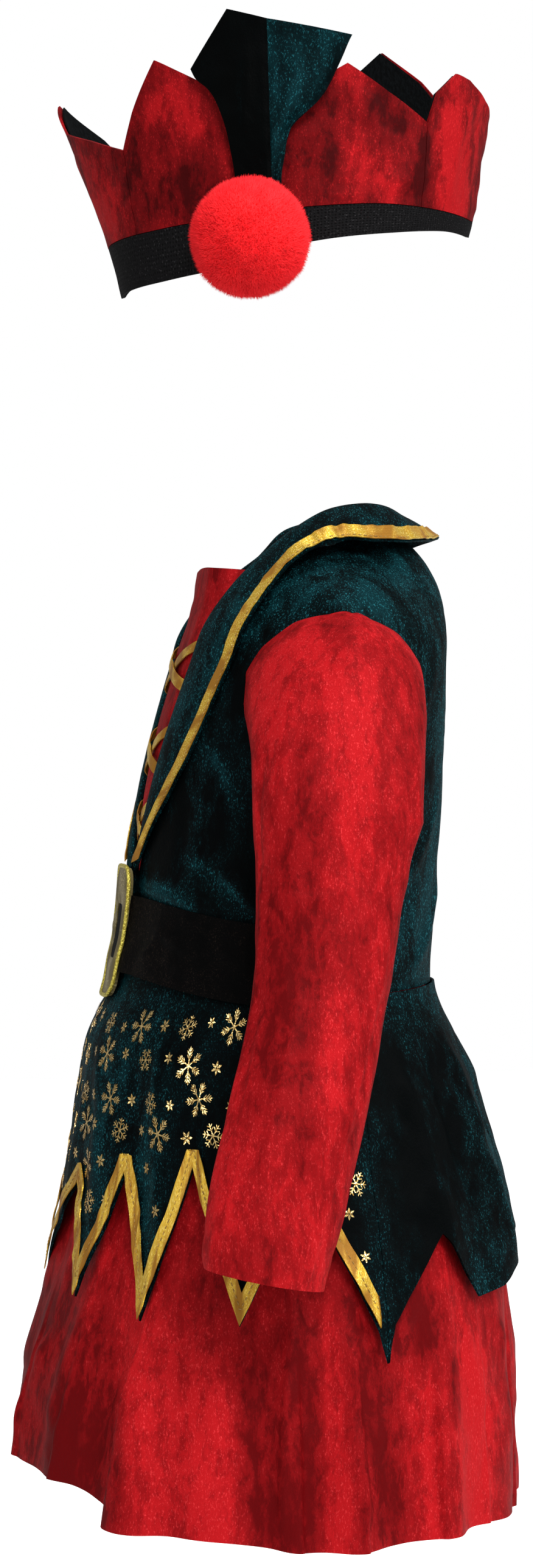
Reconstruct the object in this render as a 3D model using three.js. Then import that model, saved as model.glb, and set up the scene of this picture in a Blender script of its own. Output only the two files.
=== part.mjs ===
// A baby's christmas elf costume: a long-sleeved velvet dress with a shawl collar, a belt
// and two skirts, and a crown-shaped hat with a pompom, filled out as if worn.
// Millimetres, +Z up. The wearer faces -Y and the wearer's left side is +X. The origin is at
// the base of the neck, on the body's axis, level with the shoulders that carry the dress.
import * as THREE from 'three';

// Cloth thicknesses and the clearance at seams.
const VELVET = 1.5;
const RIBBON = 0.8;
const SEAM = 0.3;
const SEAM_ANGLE = 0.1;

// Heights of the dress.
const HEM_Z = -425;
const WAIST_FRONT_Z = -187;
const WAIST_SIDE_DROP = 12;
const WAIST_BACK_RISE = 3;
const UNDERARM = 0.70;

// The shoulder seam: a ridge from the neck to the shoulder tip, and how far the cloth rounds over it.
const RIDGE_Y = 8;
const NECK_X = 50;
const NECK_Z = -5;
const SHOULDER_SLOPE = 0.56;
const SHOULDER_TIP_X = 80;
const SHOULDER_TIP_FALL = 0.028;
const SHOULDER_ROUND = 45;
const BACK_NECK_RISE = 25;

// How far each layer's outer face stands off the body form.
const BODICE_OUT = 2.0;
const LAPEL_OUT = BODICE_OUT + SEAM + VELVET;

// Belt and buckle.
const BELT_HEIGHT = 30;
const BELT_TUCK = 4;
const BELT_END = 90;
const BELT_WALL = 1.7;
const BUCKLE_RISE = 13.5;
const BUCKLE_HALF_WIDTH = 24;
const BUCKLE_HALF_HEIGHT = 29;
const OPENING_HALF_WIDTH = 9.5;
const OPENING_HALF_HEIGHT = 11;
const BUCKLE_CORNER_POWER = 5;
const BUCKLE_THICK = 2.6;
const BUCKLE_SIDES = 32;

// Ribbons.
const COLLAR_RIBBON_WIDTH = 6;
const HEM_RIBBON_WIDTH = 7;
const LACE_WIDTH = 5;

// The hat: a ring turned on the body's axis, its front a little before the wearer's left.
const HAT_FRONT = 68;
const BAND_RADIUS = 81;
const BAND_WALL = 1.6;
const FLARE_HEIGHT = 65;
const FLARE_AT_BAND = 0.12;
const POMPOM_RADIUS = 26.6;
const POMPOM_CORE = 19;
const POMPOM_Z = 124.4;
const POMPOM_DISTANCE = 98;
const POMPOM_TURN = 1;

const RAD = Math.PI / 180;
const clamp = (value, low, high) => Math.min(high, Math.max(low, value));
const lerp = (from, to, share) => from + (to - from) * share;
const spread = (from, to, steps) => Array.from({ length: steps + 1 }, (_, i) => lerp(from, to, i / steps));

// A table's column as a function of its first column, smooth through every row.
function smooth(rows, key, column) {
  const keys = rows.map((row) => row[key]);
  const values = rows.map((row) => row[column]);
  const last = keys.length - 1;
  const slope = keys.map((_, i) => {
    if (i === 0 || i === last) return 0;
    const before = (values[i] - values[i - 1]) / (keys[i] - keys[i - 1]);
    const after = (values[i + 1] - values[i]) / (keys[i + 1] - keys[i]);
    return before * after <= 0 ? 0 : (2 * before * after) / (before + after);
  });
  slope[0] = (values[1] - values[0]) / (keys[1] - keys[0]);
  slope[last] = (values[last] - values[last - 1]) / (keys[last] - keys[last - 1]);
  return (x) => {
    const at = clamp(x, keys[0], keys[last]);
    let i = 0;
    while (i < last - 1 && at > keys[i + 1]) i += 1;
    const width = keys[i + 1] - keys[i];
    const t = (at - keys[i]) / width;
    const rise = 3 * t * t - 2 * t * t * t;
    const start = t * (1 - t) * (1 - t) * width * slope[i];
    const end = t * t * (t - 1) * width * slope[i + 1];
    return lerp(values[i], values[i + 1], rise) + start + end;
  };
}

// A table's column read in straight lines from row to row.
function straight(rows, key, column) {
  return (x) => {
    let i = 0;
    while (i < rows.length - 2 && x > rows[i + 1][key]) i += 1;
    const share = clamp((x - rows[i][key]) / (rows[i + 1][key] - rows[i][key]), 0, 1);
    return lerp(rows[i][column], rows[i + 1][column], share);
  };
}

const named = (names, values) => Object.fromEntries(names.map((name, i) => [name, values[i]]));
const tableOf = (names, rows) => rows.map((row) => named(names, row));

// A cloth wall under the surface place(u, v). The surface is its outer face: u runs to the
// right seen from outside and v runs up. A closed wall is a tube round u.
function clothWall(place, us, vs, thickness, { closed = false, seamX = false } = {}) {
  const columns = us.length;
  const rows = vs.length;
  const step = 1e-3;
  const positions = [];
  const inner = [];
  for (let i = 0; i < rows; i += 1) {
    for (let j = 0; j < columns; j += 1) {
      const point = place(us[j], vs[i]);
      const across = place(us[j] + step, vs[i]).sub(place(us[j] - step, vs[i]));
      const along = place(us[j], vs[i] + step).sub(place(us[j], vs[i] - step));
      const normal = across.cross(along);
      if (seamX && i === rows - 1) normal.x = 0;
      normal.normalize();
      positions.push(point.x, point.y, point.z);
      const under = point.clone().addScaledVector(normal, -thickness);
      inner.push(under.x, under.y, under.z);
    }
  }
  const count = rows * columns;
  const indices = [];
  const quad = (a, b, c, d) => indices.push(a, b, c, a, c, d);
  const spans = closed ? columns : columns - 1;
  for (let j = 0; j < spans; j += 1) {
    const next = (j + 1) % columns;
    for (let i = 0; i < rows - 1; i += 1) {
      const a = i * columns + j;
      const b = i * columns + next;
      quad(a, b, b + columns, a + columns);
      quad(count + a, count + a + columns, count + b + columns, count + b);
    }
    const top = (rows - 1) * columns;
    quad(j, count + j, count + next, next);
    quad(top + j, top + next, count + top + next, count + top + j);
  }
  if (!closed) {
    for (let i = 0; i < rows - 1; i += 1) {
      const a = i * columns;
      const b = a + columns - 1;
      quad(a, a + columns, count + a + columns, count + a);
      quad(b, count + b, count + b + columns, b + columns);
    }
  }
  const geometry = new THREE.BufferGeometry();
  geometry.setAttribute('position', new THREE.Float32BufferAttribute([...positions, ...inner], 3));
  geometry.setIndex(indices);
  geometry.computeVertexNormals();
  return geometry;
}

const FINISH = {
  green: { color: 0x0a2a2c, roughness: 0.75, metalness: 0 },
  red: { color: 0xb5141c, roughness: 0.7, metalness: 0 },
  black: { color: 0x0c0b0c, roughness: 0.85, metalness: 0 },
  gold: { color: 0xb5862a, roughness: 0.4, metalness: 0.35 },
  paleGold: { color: 0xa9955c, roughness: 0.45, metalness: 0.3 },
  fur: { color: 0xd81f27, roughness: 0.95, metalness: 0 },
};

const costume = new THREE.Group();

function add(name, geometry, finish) {
  const mesh = new THREE.Mesh(geometry, new THREE.MeshStandardMaterial(FINISH[finish]));
  mesh.name = name;
  costume.add(mesh);
}

// The same cloth on the wearer's right: mirrored across the body, its columns read backwards.
const mirrored = (place) => (u, v) => {
  const point = place(-u, v);
  point.x = -point.x;
  return point;
};
const backwards = (values) => values.map((value) => -value).reverse();

// Body form under the dress, by height: half width, reach to the front and to the back, and
// the y of its widest line.
const BODY = tableOf(['z', 'half', 'front', 'back', 'mid'], [
  [-215, 88, 77.6, 60, -12],
  [-196, 87.8, 75.2, 59.7, -12],
  [-170, 87.7, 72.4, 61, -9],
  [-148, 88.5, 70.2, 62.5, -6],
  [-125, 90.5, 67.2, 64, -3],
  [-96, 92.5, 61.6, 65, 0],
  [-80, 94, 57.7, 65.5, 2],
  [-63, 95, 52.8, 66, 4],
  [-48, 96, 49, 66, 6],
  [-31, 97, 44.7, 65, 8],
  [-8, 97, 41.5, 62.5, 8],
  [20, 97, 38, 56.5, 8],
]);
const bodyHalf = smooth(BODY, 'z', 'half');
const bodyFront = smooth(BODY, 'z', 'front');
const bodyBack = smooth(BODY, 'z', 'back');
const bodyMid = smooth(BODY, 'z', 'mid');

// Waist seam height round the body; angles run from the front centre towards the wearer's left.
function waistZ(angle) {
  const side = Math.sin(angle * RAD) ** 2;
  const front = -WAIST_SIDE_DROP * side;
  const back = WAIST_BACK_RISE * (1 - side) - WAIST_SIDE_DROP;
  return WAIST_FRONT_Z + (Math.cos(angle * RAD) < 0 ? back : front);
}

function bodyPoint(angle, z, out) {
  const mid = bodyMid(z);
  const facing = Math.cos(angle * RAD);
  const depth = facing > 0 ? bodyFront(z) + mid : bodyBack(z) - mid;
  const x = (bodyHalf(z) + out) * Math.sin(angle * RAD);
  return new THREE.Vector3(x, mid - (depth + out) * facing, z);
}

// Height of the shoulder ridge above the cloth at an angle; the back rises between the shoulders.
function ridgeZ(angle) {
  const x = Math.abs(bodyHalf(NECK_Z) * Math.sin(angle * RAD));
  const tip = Math.max(0, x - SHOULDER_TIP_X) ** 2 * SHOULDER_TIP_FALL;
  if (x > NECK_X) return NECK_Z - (x - NECK_X) * SHOULDER_SLOPE - tip;
  const rise = Math.cos(angle * RAD) < 0 ? BACK_NECK_RISE * (1 - (x / NECK_X) ** 2) : 0;
  return NECK_Z + rise;
}

// The bodice: level 0 is the waist seam, 1 is where the shoulder starts to round, 2 is the ridge.
function bodicePoint(angle, level, out) {
  const top = ridgeZ(angle);
  const roundZ = top - SHOULDER_ROUND;
  if (level <= 1) return bodyPoint(angle, lerp(waistZ(angle) + SEAM / 2, roundZ, level), out);
  const turn = (2 - level) * Math.PI / 2;
  const z = top - SHOULDER_ROUND * (1 - Math.cos(turn));
  const point = bodyPoint(angle, z, out);
  point.y = RIDGE_Y + (point.y - RIDGE_Y) * Math.sin(turn);
  point.z += out * Math.cos(turn);
  return point;
}

// Edges of the bodice pieces, by level: the V at the front, and the armhole before and behind.
const BODICE_EDGES = tableOf(['level', 'vEdge', 'armFront', 'armBack'], [
  [0, 0.2, 90, 90],
  [0.24, 0.4, 90, 90],
  [0.3, 6, 90, 90],
  [0.55, 11, 90, 90],
  [0.7, 14.5, 90, 90],
  [0.75, 15.5, 74, 77],
  [0.82, 17, 61, 66],
  [0.92, 19, 52, 59],
  [1.04, 21, 49.5, 57.5],
  [1.22, 23.5, 52.5, 59],
  [1.45, 26.5, 60, 65],
  [1.67, 29, 71, 74],
  [2, 31.2, 82, 82],
]);
const vEdge = smooth(BODICE_EDGES, 'level', 'vEdge');
const armFront = straight(BODICE_EDGES, 'level', 'armFront');
const armBack = straight(BODICE_EDGES, 'level', 'armBack');
const BODICE_LEVELS = [0, 0.24, 0.3, 0.5, 0.7, 0.75, 0.82, 0.92, 1.04, 1.22, 1.45, 1.67, 1.85, 1.998];
const BACK_NECK_LEVEL = 1.39;
const BACK_NECK_SHARE = 0.378;

function bodiceFront(u, level) {
  const side = armFront(level) - (level < UNDERARM ? SEAM_ANGLE : 0);
  return bodicePoint(lerp(vEdge(level), side, u), level, BODICE_OUT);
}

function bodiceBack(u, level) {
  const side = armBack(level) - (level < UNDERARM ? SEAM_ANGLE : 0);
  const neck = clamp(Math.abs(u) / BACK_NECK_SHARE, 0, 1) ** 2;
  const reach = lerp(BACK_NECK_LEVEL, 2, neck) / 2;
  return bodicePoint(180 + u * side, level * reach, BODICE_OUT);
}

function addBodice() {
  const across = spread(0, 1, 7);
  const mirror = mirrored(bodiceFront);
  add('bodice_front_left', clothWall(bodiceFront, across, BODICE_LEVELS, VELVET), 'green');
  add('bodice_front_right', clothWall(mirror, backwards(across), BODICE_LEVELS, VELVET), 'green');
  const back = [-1, -0.85, -0.7, -0.55, -0.378, -0.25, -0.12, 0, 0.12, 0.25, 0.378, 0.55, 0.7, 0.85, 1];
  add('bodice_back', clothWall(bodiceBack, back, BODICE_LEVELS, VELVET), 'green');
}

// Half width of the V's opening at a height.
const vHalfAt = smooth(
  BODICE_EDGES.filter((row) => row.level >= 0.24).map((row) => {
    const point = bodicePoint(row.vEdge, row.level, 0);
    return { z: point.z, x: point.x };
  }),
  'z',
  'x',
);

// Red insert behind the V: its top dips from the centre to the neck, and its edges sink
// behind the bodice.
const INSERT_TOP_Z = -8;
const INSERT_TOP_DIP = 6;
const INSERT_LAP = 2.6;
const INSERT_SINK = 1.6;
const INSERT_WALL = 1.2;

function insertForm(angle, z, out) {
  const edge = Math.asin(vHalfAt(z) / bodyHalf(z)) / RAD;
  const share = THREE.MathUtils.smoothstep(Math.abs(angle), edge * 0.4, edge);
  const point = bodyPoint(angle, z, out - INSERT_SINK * share);
  const drop = clamp((NECK_Z - z) / SHOULDER_ROUND, 0, 1);
  const rounding = Math.sqrt(1 - (1 - drop) ** 2);
  point.y = RIDGE_Y + (point.y - RIDGE_Y) * lerp(1, rounding, share);
  return point;
}

function insertPoint(u, v) {
  const top = INSERT_TOP_Z - INSERT_TOP_DIP * u * u;
  const z = lerp(WAIST_FRONT_Z, top, v);
  const edge = Math.asin(vHalfAt(z) / bodyHalf(z)) / RAD;
  return insertForm(u * (edge + INSERT_LAP), z, 0);
}

function addInsert() {
  const geometry = clothWall(insertPoint, spread(-1, 1, 8), spread(0, 1, 9), INSERT_WALL);
  add('front_insert', geometry, 'red');
}

// Crossed ribbon laces on the insert, from one edge of the V to the other.
const LACES = tableOf(['name', 'topZ', 'bottomZ'], [
  ['upper', -44, -66],
  ['middle', -82, -103],
  ['lower', -116, -133],
]);
const LACE_END_GAP = 2.6;
const LACE_CROSSING = 0.55;

function addLace(row, side) {
  const lift = SEAM + RIBBON + (side > 0 ? 0 : RIBBON + SEAM);
  const place = (u, v) => {
    const middle = lerp(row.bottomZ, row.topZ, (side * u + 1) / 2);
    const z = middle + v * LACE_WIDTH;
    const x = u * (vHalfAt(z) - LACE_END_GAP);
    const angle = Math.asin(x / bodyHalf(z)) / RAD;
    const over = side > 0 ? lift : lerp(SEAM + RIBBON, lift, Math.exp(-((u / LACE_CROSSING) ** 4)));
    return insertForm(angle, z, over);
  };
  const name = side > 0 ? 'rising' : 'falling';
  add(`lace_${row.name}_${name}`, clothWall(place, spread(-1, 1, 8), [-0.5, 0.5], RIBBON), 'gold');
}

// Shawl collar: from the foot of the V up each lapel and round the neck. A lapel row gives
// where the fold and the outer edge lie on the bodice; a neck row gives them in space.
const LAPEL = tableOf(['foldX', 'foldZ', 'outerX', 'outerZ', 'baseOut'], [
  [4.5, -152, 9, -149, 4],
  [10, -135, 25, -129, 3],
  [16, -110, 40, -110, 2.4],
  [20, -92, 50, -93, 2.4],
  [24.5, -72, 58, -72, 2.4],
  [29.5, -54, 64, -54, 2.4],
  [34.5, -38, 67, -40, 2.4],
]);
const NECK = tableOf(['foldX', 'foldY', 'foldZ', 'outerX', 'outerY', 'outerZ', 'baseX', 'baseY', 'baseZ'], [
  [40, -35.5, -21, 69, -24, -24, 37, -33.5, -22],
  [45, -22.5, -7, 69, -13, -11, 41, -22.5, -12],
  [49, -8, 5, 68, -1, -4, 44, -8, -3],
  [50, 6, 13, 67, 10, -1, 45, 6, 1],
  [46, 22, 16.5, 62, 27, -1, 41, 21, 4],
  [35, 35, 16.5, 47, 45, 0, 31, 33, 6],
  [18, 44, 14, 25, 60, 2.5, 16, 41, 6],
  [0.3, 47, 12, 0.3, 69, 6, 0.3, 44, 5],
]);
const FOLD_LIP = 1.6;
const LAPEL_PUFF = 1.6;
const NECK_PUFF = 5;

function onBody(x, z, out) {
  return bodyPoint(Math.asin(clamp(x / bodyHalf(z), -1, 1)) / RAD, z, out);
}

function collarCurves() {
  const stations = LAPEL.map((row) => {
    const middleX = (row.foldX + row.outerX) / 2;
    const middleZ = (row.foldZ + row.outerZ) / 2;
    return [
      onBody(row.foldX - FOLD_LIP, row.foldZ, row.baseOut),
      onBody(row.foldX, row.foldZ, LAPEL_OUT + 0.4),
      onBody(middleX, middleZ, LAPEL_OUT + LAPEL_PUFF),
      onBody(row.outerX, row.outerZ, LAPEL_OUT + 0.2),
    ];
  });
  for (const row of NECK) {
    const fold = new THREE.Vector3(row.foldX, row.foldY, row.foldZ);
    const outer = new THREE.Vector3(row.outerX, row.outerY, row.outerZ);
    const middle = fold.clone().lerp(outer, 0.5);
    middle.z += NECK_PUFF * 0.5;
    stations.push([new THREE.Vector3(row.baseX, row.baseY, row.baseZ), fold, middle, outer]);
  }
  return [0, 1, 2, 3].map((lane) => new THREE.CatmullRomCurve3(stations.map((row) => row[lane])));
}
const COLLAR_LANES = collarCurves();
const COLLAR_STATIONS = LAPEL.length + NECK.length - 1;

// A point of the left collar: v runs from the foot of the V to the back, u from base to outer edge.
function collarPoint(u, v) {
  const lanes = COLLAR_LANES.map((lane) => lane.getPoint(clamp(v, 0, 1)));
  return new THREE.CatmullRomCurve3(lanes).getPoint(clamp(u, 0, 1));
}

function addCollar() {
  const across = [0, 0.17, 0.333, 0.5, 0.667, 0.83, 1];
  const along = spread(0, 1, COLLAR_STATIONS);
  add('collar_left', clothWall(collarPoint, across, along, VELVET, { seamX: true }), 'green');
  const right = clothWall(mirrored(collarPoint), backwards(across), along, VELVET, { seamX: true });
  add('collar_right', right, 'green');
}

// The point of a surface, moved out along its normal.
function raised(place, u, v, out) {
  const step = 1e-3;
  const across = place(u + step, v).sub(place(u - step, v));
  const along = place(u, v + step).sub(place(u, v - step));
  return place(u, v).addScaledVector(across.cross(along).normalize(), out);
}

// Satin ribbon along the collar's outer edge, from above the buckle to the point at the back.
const RIBBON_START = 0.03;
const RIBBON_END = 0.985;
const FOLD_SHARE = 1 / 3;
const RIBBON_MOST = 0.92;
const RIBBON_EDGE = 2e-3;
const RIBBON_LIFT = 0.1;

function collarRibbonPoint(u, v) {
  const fall = collarPoint(FOLD_SHARE, v).distanceTo(collarPoint(1, v));
  const share = Math.min(RIBBON_MOST, COLLAR_RIBBON_WIDTH / fall) * (1 - FOLD_SHARE);
  return raised(collarPoint, 1 - RIBBON_EDGE - (1 - u) * share, v, SEAM + RIBBON + RIBBON_LIFT);
}

function addCollarRibbons() {
  const along = spread(RIBBON_START, RIBBON_END, 26);
  add('collar_ribbon_left', clothWall(collarRibbonPoint, [0, 1], along, RIBBON), 'gold');
  const right = clothWall(mirrored(collarRibbonPoint), [-1, 0], along, RIBBON);
  add('collar_ribbon_right', right, 'gold');
}

// Set-in sleeve: the armhole ring, then sections down the arm to the cuff. Round a section the
// share runs from the underarm over the front, the top and the back.
const ARM_LEVELS = tableOf(['share', 'level'], [
  [0, 0.7],
  [0.1, 0.735],
  [0.2, 0.775],
  [0.3, 0.84],
  [0.4, 0.93],
  [0.5, 1.05],
  [0.6, 1.2],
  [0.7, 1.37],
  [0.8, 1.57],
  [0.9, 1.78],
  [1, 1.985],
]);
const armLevel = smooth(ARM_LEVELS, 'share', 'level');
const SLEEVE = tableOf(['reach', 'z', 'x', 'y', 'halfX', 'halfY', 'tilt'], [
  [0, -308, 154, -40, 18, 24.5, 5],
  [1, -277, 149, -33, 19.5, 27.5, 4],
  [2, -257, 145, -28, 20, 28, 3],
  [3, -236, 141, -22.5, 20, 28.2, 2],
  [4, -213, 135.5, -16.5, 20.5, 28.2, 1],
  [5, -189, 130, -11, 21, 28.8, 0],
  [6, -165, 125.5, -8, 21.5, 30.2, 0],
  [7, -142, 122, -5, 22.5, 33, 0],
  [8, -124, 119.8, -2, 23, 36.5, 0],
]);
const ARM_TOP = SLEEVE.length - 1;
const SLEEVE_LAP = 1.2;
const SLEEVE_HEAD_DROP = 0.15;
const UNDERARM_BOW = 0.1;
const SLEEVE_COLUMNS = 22;
const ARM_COLUMNS = ['z', 'x', 'y', 'halfX', 'halfY', 'tilt'];
const ARM = named(ARM_COLUMNS, ARM_COLUMNS.map((name) => smooth(SLEEVE, 'reach', name)));

function armSection(share, reach) {
  const turn = share * 2 * Math.PI;
  const x = ARM.x(reach) - ARM.halfX(reach) * Math.cos(turn);
  const y = ARM.y(reach) - ARM.halfY(reach) * Math.sin(turn);
  return new THREE.Vector3(x, y, ARM.z(reach) + ARM.tilt(reach) * Math.sin(turn));
}

function armholeRing(share) {
  const front = share <= 0.5;
  const level = armLevel(front ? share * 2 : 2 - share * 2);
  const angle = front ? armFront(level) - SLEEVE_LAP : 180 - armBack(level) + SLEEVE_LAP;
  return bodicePoint(angle, level, BODICE_OUT + SEAM + VELVET);
}

// Reach 0 is the cuff and ARM_TOP the underarm; one more step up leads to the armhole.
function sleevePoint(u, reach) {
  const share = ((u % 1) + 1) % 1;
  if (reach <= ARM_TOP) return armSection(share, reach);
  const start = armholeRing(share);
  const end = armSection(share, ARM_TOP);
  const length = start.distanceTo(end);
  const out = new THREE.Vector3(length, 0, -SLEEVE_HEAD_DROP * length);
  const down = new THREE.Vector3(UNDERARM_BOW * length, 0, -length);
  const t = ARM_TOP + 1 - reach;
  const t2 = t * t;
  const t3 = t2 * t;
  return start
    .multiplyScalar(2 * t3 - 3 * t2 + 1)
    .addScaledVector(out, t3 - 2 * t2 + t)
    .addScaledVector(end, 3 * t2 - 2 * t3)
    .addScaledVector(down, t3 - t2);
}

function addSleeves() {
  const round = spread(0, 1 - 1 / SLEEVE_COLUMNS, SLEEVE_COLUMNS - 1);
  const reaches = [0, 1, 2, 3, 4, 5, 6, 7, 8, 8.3, 8.55, 8.8, 9];
  const closed = { closed: true };
  add('sleeve_left', clothWall(sleevePoint, round, reaches, VELVET, closed), 'red');
  const right = clothWall(mirrored(sleevePoint), backwards(round), reaches, VELVET, closed);
  add('sleeve_right', right, 'red');
}

// Skirts, by drop below the waist seam: half width, reach to the front and back, fold depth.
const OVERSKIRT = tableOf(['drop', 'half', 'front', 'back', 'fold'], [
  [0, 91.5, 78.2, 63.5, 0],
  [4, 92, 79.3, 64.2, 0],
  [12, 94.5, 82, 67, 0.2],
  [22, 98, 88, 72, 0.6],
  [38, 103, 94, 79, 1.2],
  [68, 111, 98.5, 89, 2],
  [98, 119, 103, 98, 2.6],
  [123, 125, 108.8, 102.5, 3],
  [150, 130, 114.8, 104.5, 3.4],
]);
const UNDERSKIRT = tableOf(['drop', 'half', 'front', 'back', 'fold'], [
  [0, 89.7, 76.4, 61.7, 0],
  [12, 91.5, 79.5, 63.5, 0.2],
  [22, 94, 84, 67.5, 0.6],
  [38, 98.5, 90, 74, 1.2],
  [68, 106.5, 94.3, 84, 2],
  [98, 114, 98.5, 92, 2.6],
  [123, 120, 104, 95, 3],
  [150, 125.5, 111.3, 97, 3.4],
  [190, 132, 122.3, 98, 5.5],
  [245, 139, 131.5, 98.5, 8],
]);
const SKIRT_MID = -12;

// Folds of both skirts: a ridge at each angle, with its width in degrees and its share of the depth.
const FOLD_MEAN = 0.45;
const FOLDS = tableOf(['angle', 'width', 'height'], [
  [-158, 9, 0.9],
  [-134, 8, 0.8],
  [-110, 6, 1.1],
  [-90, 8, 0.8],
  [-66, 6, 1.1],
  [-42, 8, 0.9],
  [-16, 9, 0.7],
  [8, 8, 0.6],
  [25, 6, 0.7],
  [50, 5.5, 1.4],
  [66, 9, 0.8],
  [84, 4, 0.6],
  [98, 6, 1.2],
  [123, 6, 1.1],
  [147, 9, 1.0],
  [173, 8, 0.8],
]);
const SKIRT_COLUMNS = ['half', 'front', 'back', 'fold'];
const sections = (table) => named(SKIRT_COLUMNS, SKIRT_COLUMNS.map((name) => smooth(table, 'drop', name)));
const OVER = sections(OVERSKIRT);
const UNDER = sections(UNDERSKIRT);

// An angle turned by whole circles until it lies from -180 to 180.
const aroundZero = (angle) => angle - 360 * Math.round(angle / 360);

function foldWave(angle) {
  const ridge = (row) => row.height * Math.exp(-((aroundZero(angle - row.angle) / row.width) ** 2));
  return FOLDS.reduce((sum, row) => sum + ridge(row), -FOLD_MEAN);
}

function skirtPoint(skirt, angle, drop) {
  const turn = angle * RAD;
  const fold = skirt.fold(drop) * foldWave(angle);
  const facing = Math.cos(turn);
  const depth = facing > 0 ? skirt.front(drop) + SKIRT_MID : skirt.back(drop) - SKIRT_MID;
  const x = (skirt.half(drop) + fold) * Math.sin(turn);
  return new THREE.Vector3(x, SKIRT_MID - (depth + fold) * facing, waistZ(angle) - SEAM / 2 - drop);
}

// The underskirt's hem is higher in front, as far as the deep fold on each side.
const HEM_RISE = tableOf(['angle', 'rise'], [
  [0, 19],
  [30, 18],
  [40, 13],
  [47, 5.5],
  [66, 5],
  [90, 0.5],
  [125, 0.5],
  [150, -2],
  [180, -2],
]);
const hemRise = smooth(HEM_RISE, 'angle', 'rise');

function underskirtPoint(angle, v) {
  const rise = hemRise(Math.abs(aroundZero(angle)));
  return skirtPoint(UNDER, angle, (1 - v) * (waistZ(angle) - HEM_Z - rise));
}

// Columns of the underskirt: the top of every fold, its flanks and its feet.
function underskirtColumns() {
  const flanks = [-1.3, -0.65, 0, 0.65, 1.3];
  const columns = FOLDS.flatMap((row) => flanks.map((share) => row.angle + share * row.width));
  columns.sort((a, b) => a - b);
  return columns.filter((angle, i) => i === 0 || angle - columns[i - 1] > 1.5);
}

// Pointed hems of the overskirt, from tip to valley, by angle and height.
const SIDE_SEAM = 105;
const FRONT_HEM = tableOf(['angle', 'z'], [
  [-SIDE_SEAM, -350],
  [-103, -336],
  [-88, -276],
  [-73, -333],
  [-59, -274],
  [-44, -334],
  [-29, -276],
  [-12, -330],
  [12, -283],
  [23, -330],
  [34, -275],
  [46, -334],
  [57, -270],
  [71, -333],
  [87, -273],
  [103, -336],
  [SIDE_SEAM, -350],
]);
const BACK_HEM = tableOf(['angle', 'z'], [
  [SIDE_SEAM, -350],
  [107, -334],
  [121, -299],
  [132.5, -328],
  [142, -326],
  [158, -314],
  [180, -303],
  [202, -314],
  [218, -326],
  [227.5, -328],
  [239, -299],
  [253, -334],
  [360 - SIDE_SEAM, -350],
]);

// Columns of a pointed panel: every tip and valley, and some between them.
function hemColumns(hem, between) {
  const columns = [];
  for (let i = 0; i < hem.length - 1; i += 1) {
    columns.push(...spread(hem[i].angle, hem[i + 1].angle, between).slice(0, -1));
  }
  columns.push(hem[hem.length - 1].angle);
  columns[0] += SEAM_ANGLE;
  columns[columns.length - 1] -= SEAM_ANGLE;
  return columns;
}

function pointedPanel(hem) {
  const hemZ = straight(hem, 'angle', 'z');
  return (angle, v) => skirtPoint(OVER, angle, (1 - v) * (waistZ(angle) - hemZ(angle)));
}

// Ribbon along the front's pointed hem, as a mitred strip on the flat cloth. It ends at the
// last tip on each side, where a narrow tail of the velvet runs on down the side seam.
const HEM_FLAT_RADIUS = 115;
const HEM_RIBBON_LIFT = 0.4;
const HEM_RIBBON_END = 0.02;
const HEM_RIBBON_EDGE = 0.03;
const HEM_RIBBON_STEPS = 4;

function hemRibbonLines() {
  const scale = RAD * HEM_FLAT_RADIUS;
  const lower = FRONT_HEM.slice(1, -1).map((row) => new THREE.Vector2(row.angle * scale, row.z));
  const side = (i) => {
    const step = lower[i + 1].clone().sub(lower[i]).normalize();
    return new THREE.Vector2(-step.y, step.x);
  };
  const last = lower.length - 1;
  const upper = lower.map((point, i) => {
    if (i === 0 || i === last) {
      const edge = side(i === 0 ? 0 : last - 1);
      return point.clone().add(new THREE.Vector2(0, HEM_RIBBON_WIDTH / edge.y));
    }
    const before = side(i - 1);
    const after = side(i);
    const mitre = before.clone().add(after).multiplyScalar(HEM_RIBBON_WIDTH / (1 + before.dot(after)));
    return point.clone().add(mitre);
  });
  return { lower, upper, scale };
}
const HEM_LINES = hemRibbonLines();

function hemRibbonFlat(u, v) {
  const i = clamp(Math.floor(u), 0, HEM_LINES.lower.length - 2);
  const low = HEM_LINES.lower[i].clone().lerp(HEM_LINES.lower[i + 1], u - i);
  const high = HEM_LINES.upper[i].clone().lerp(HEM_LINES.upper[i + 1], u - i);
  return low.lerp(high, v);
}

function hemRibbonPoint(u, v) {
  const flat = hemRibbonFlat(u, v);
  const angle = flat.x / HEM_LINES.scale;
  const surface = (turn, drop) => skirtPoint(OVER, turn, -drop);
  return raised(surface, angle, flat.y - waistZ(angle), SEAM + HEM_RIBBON_LIFT + RIBBON);
}

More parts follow.
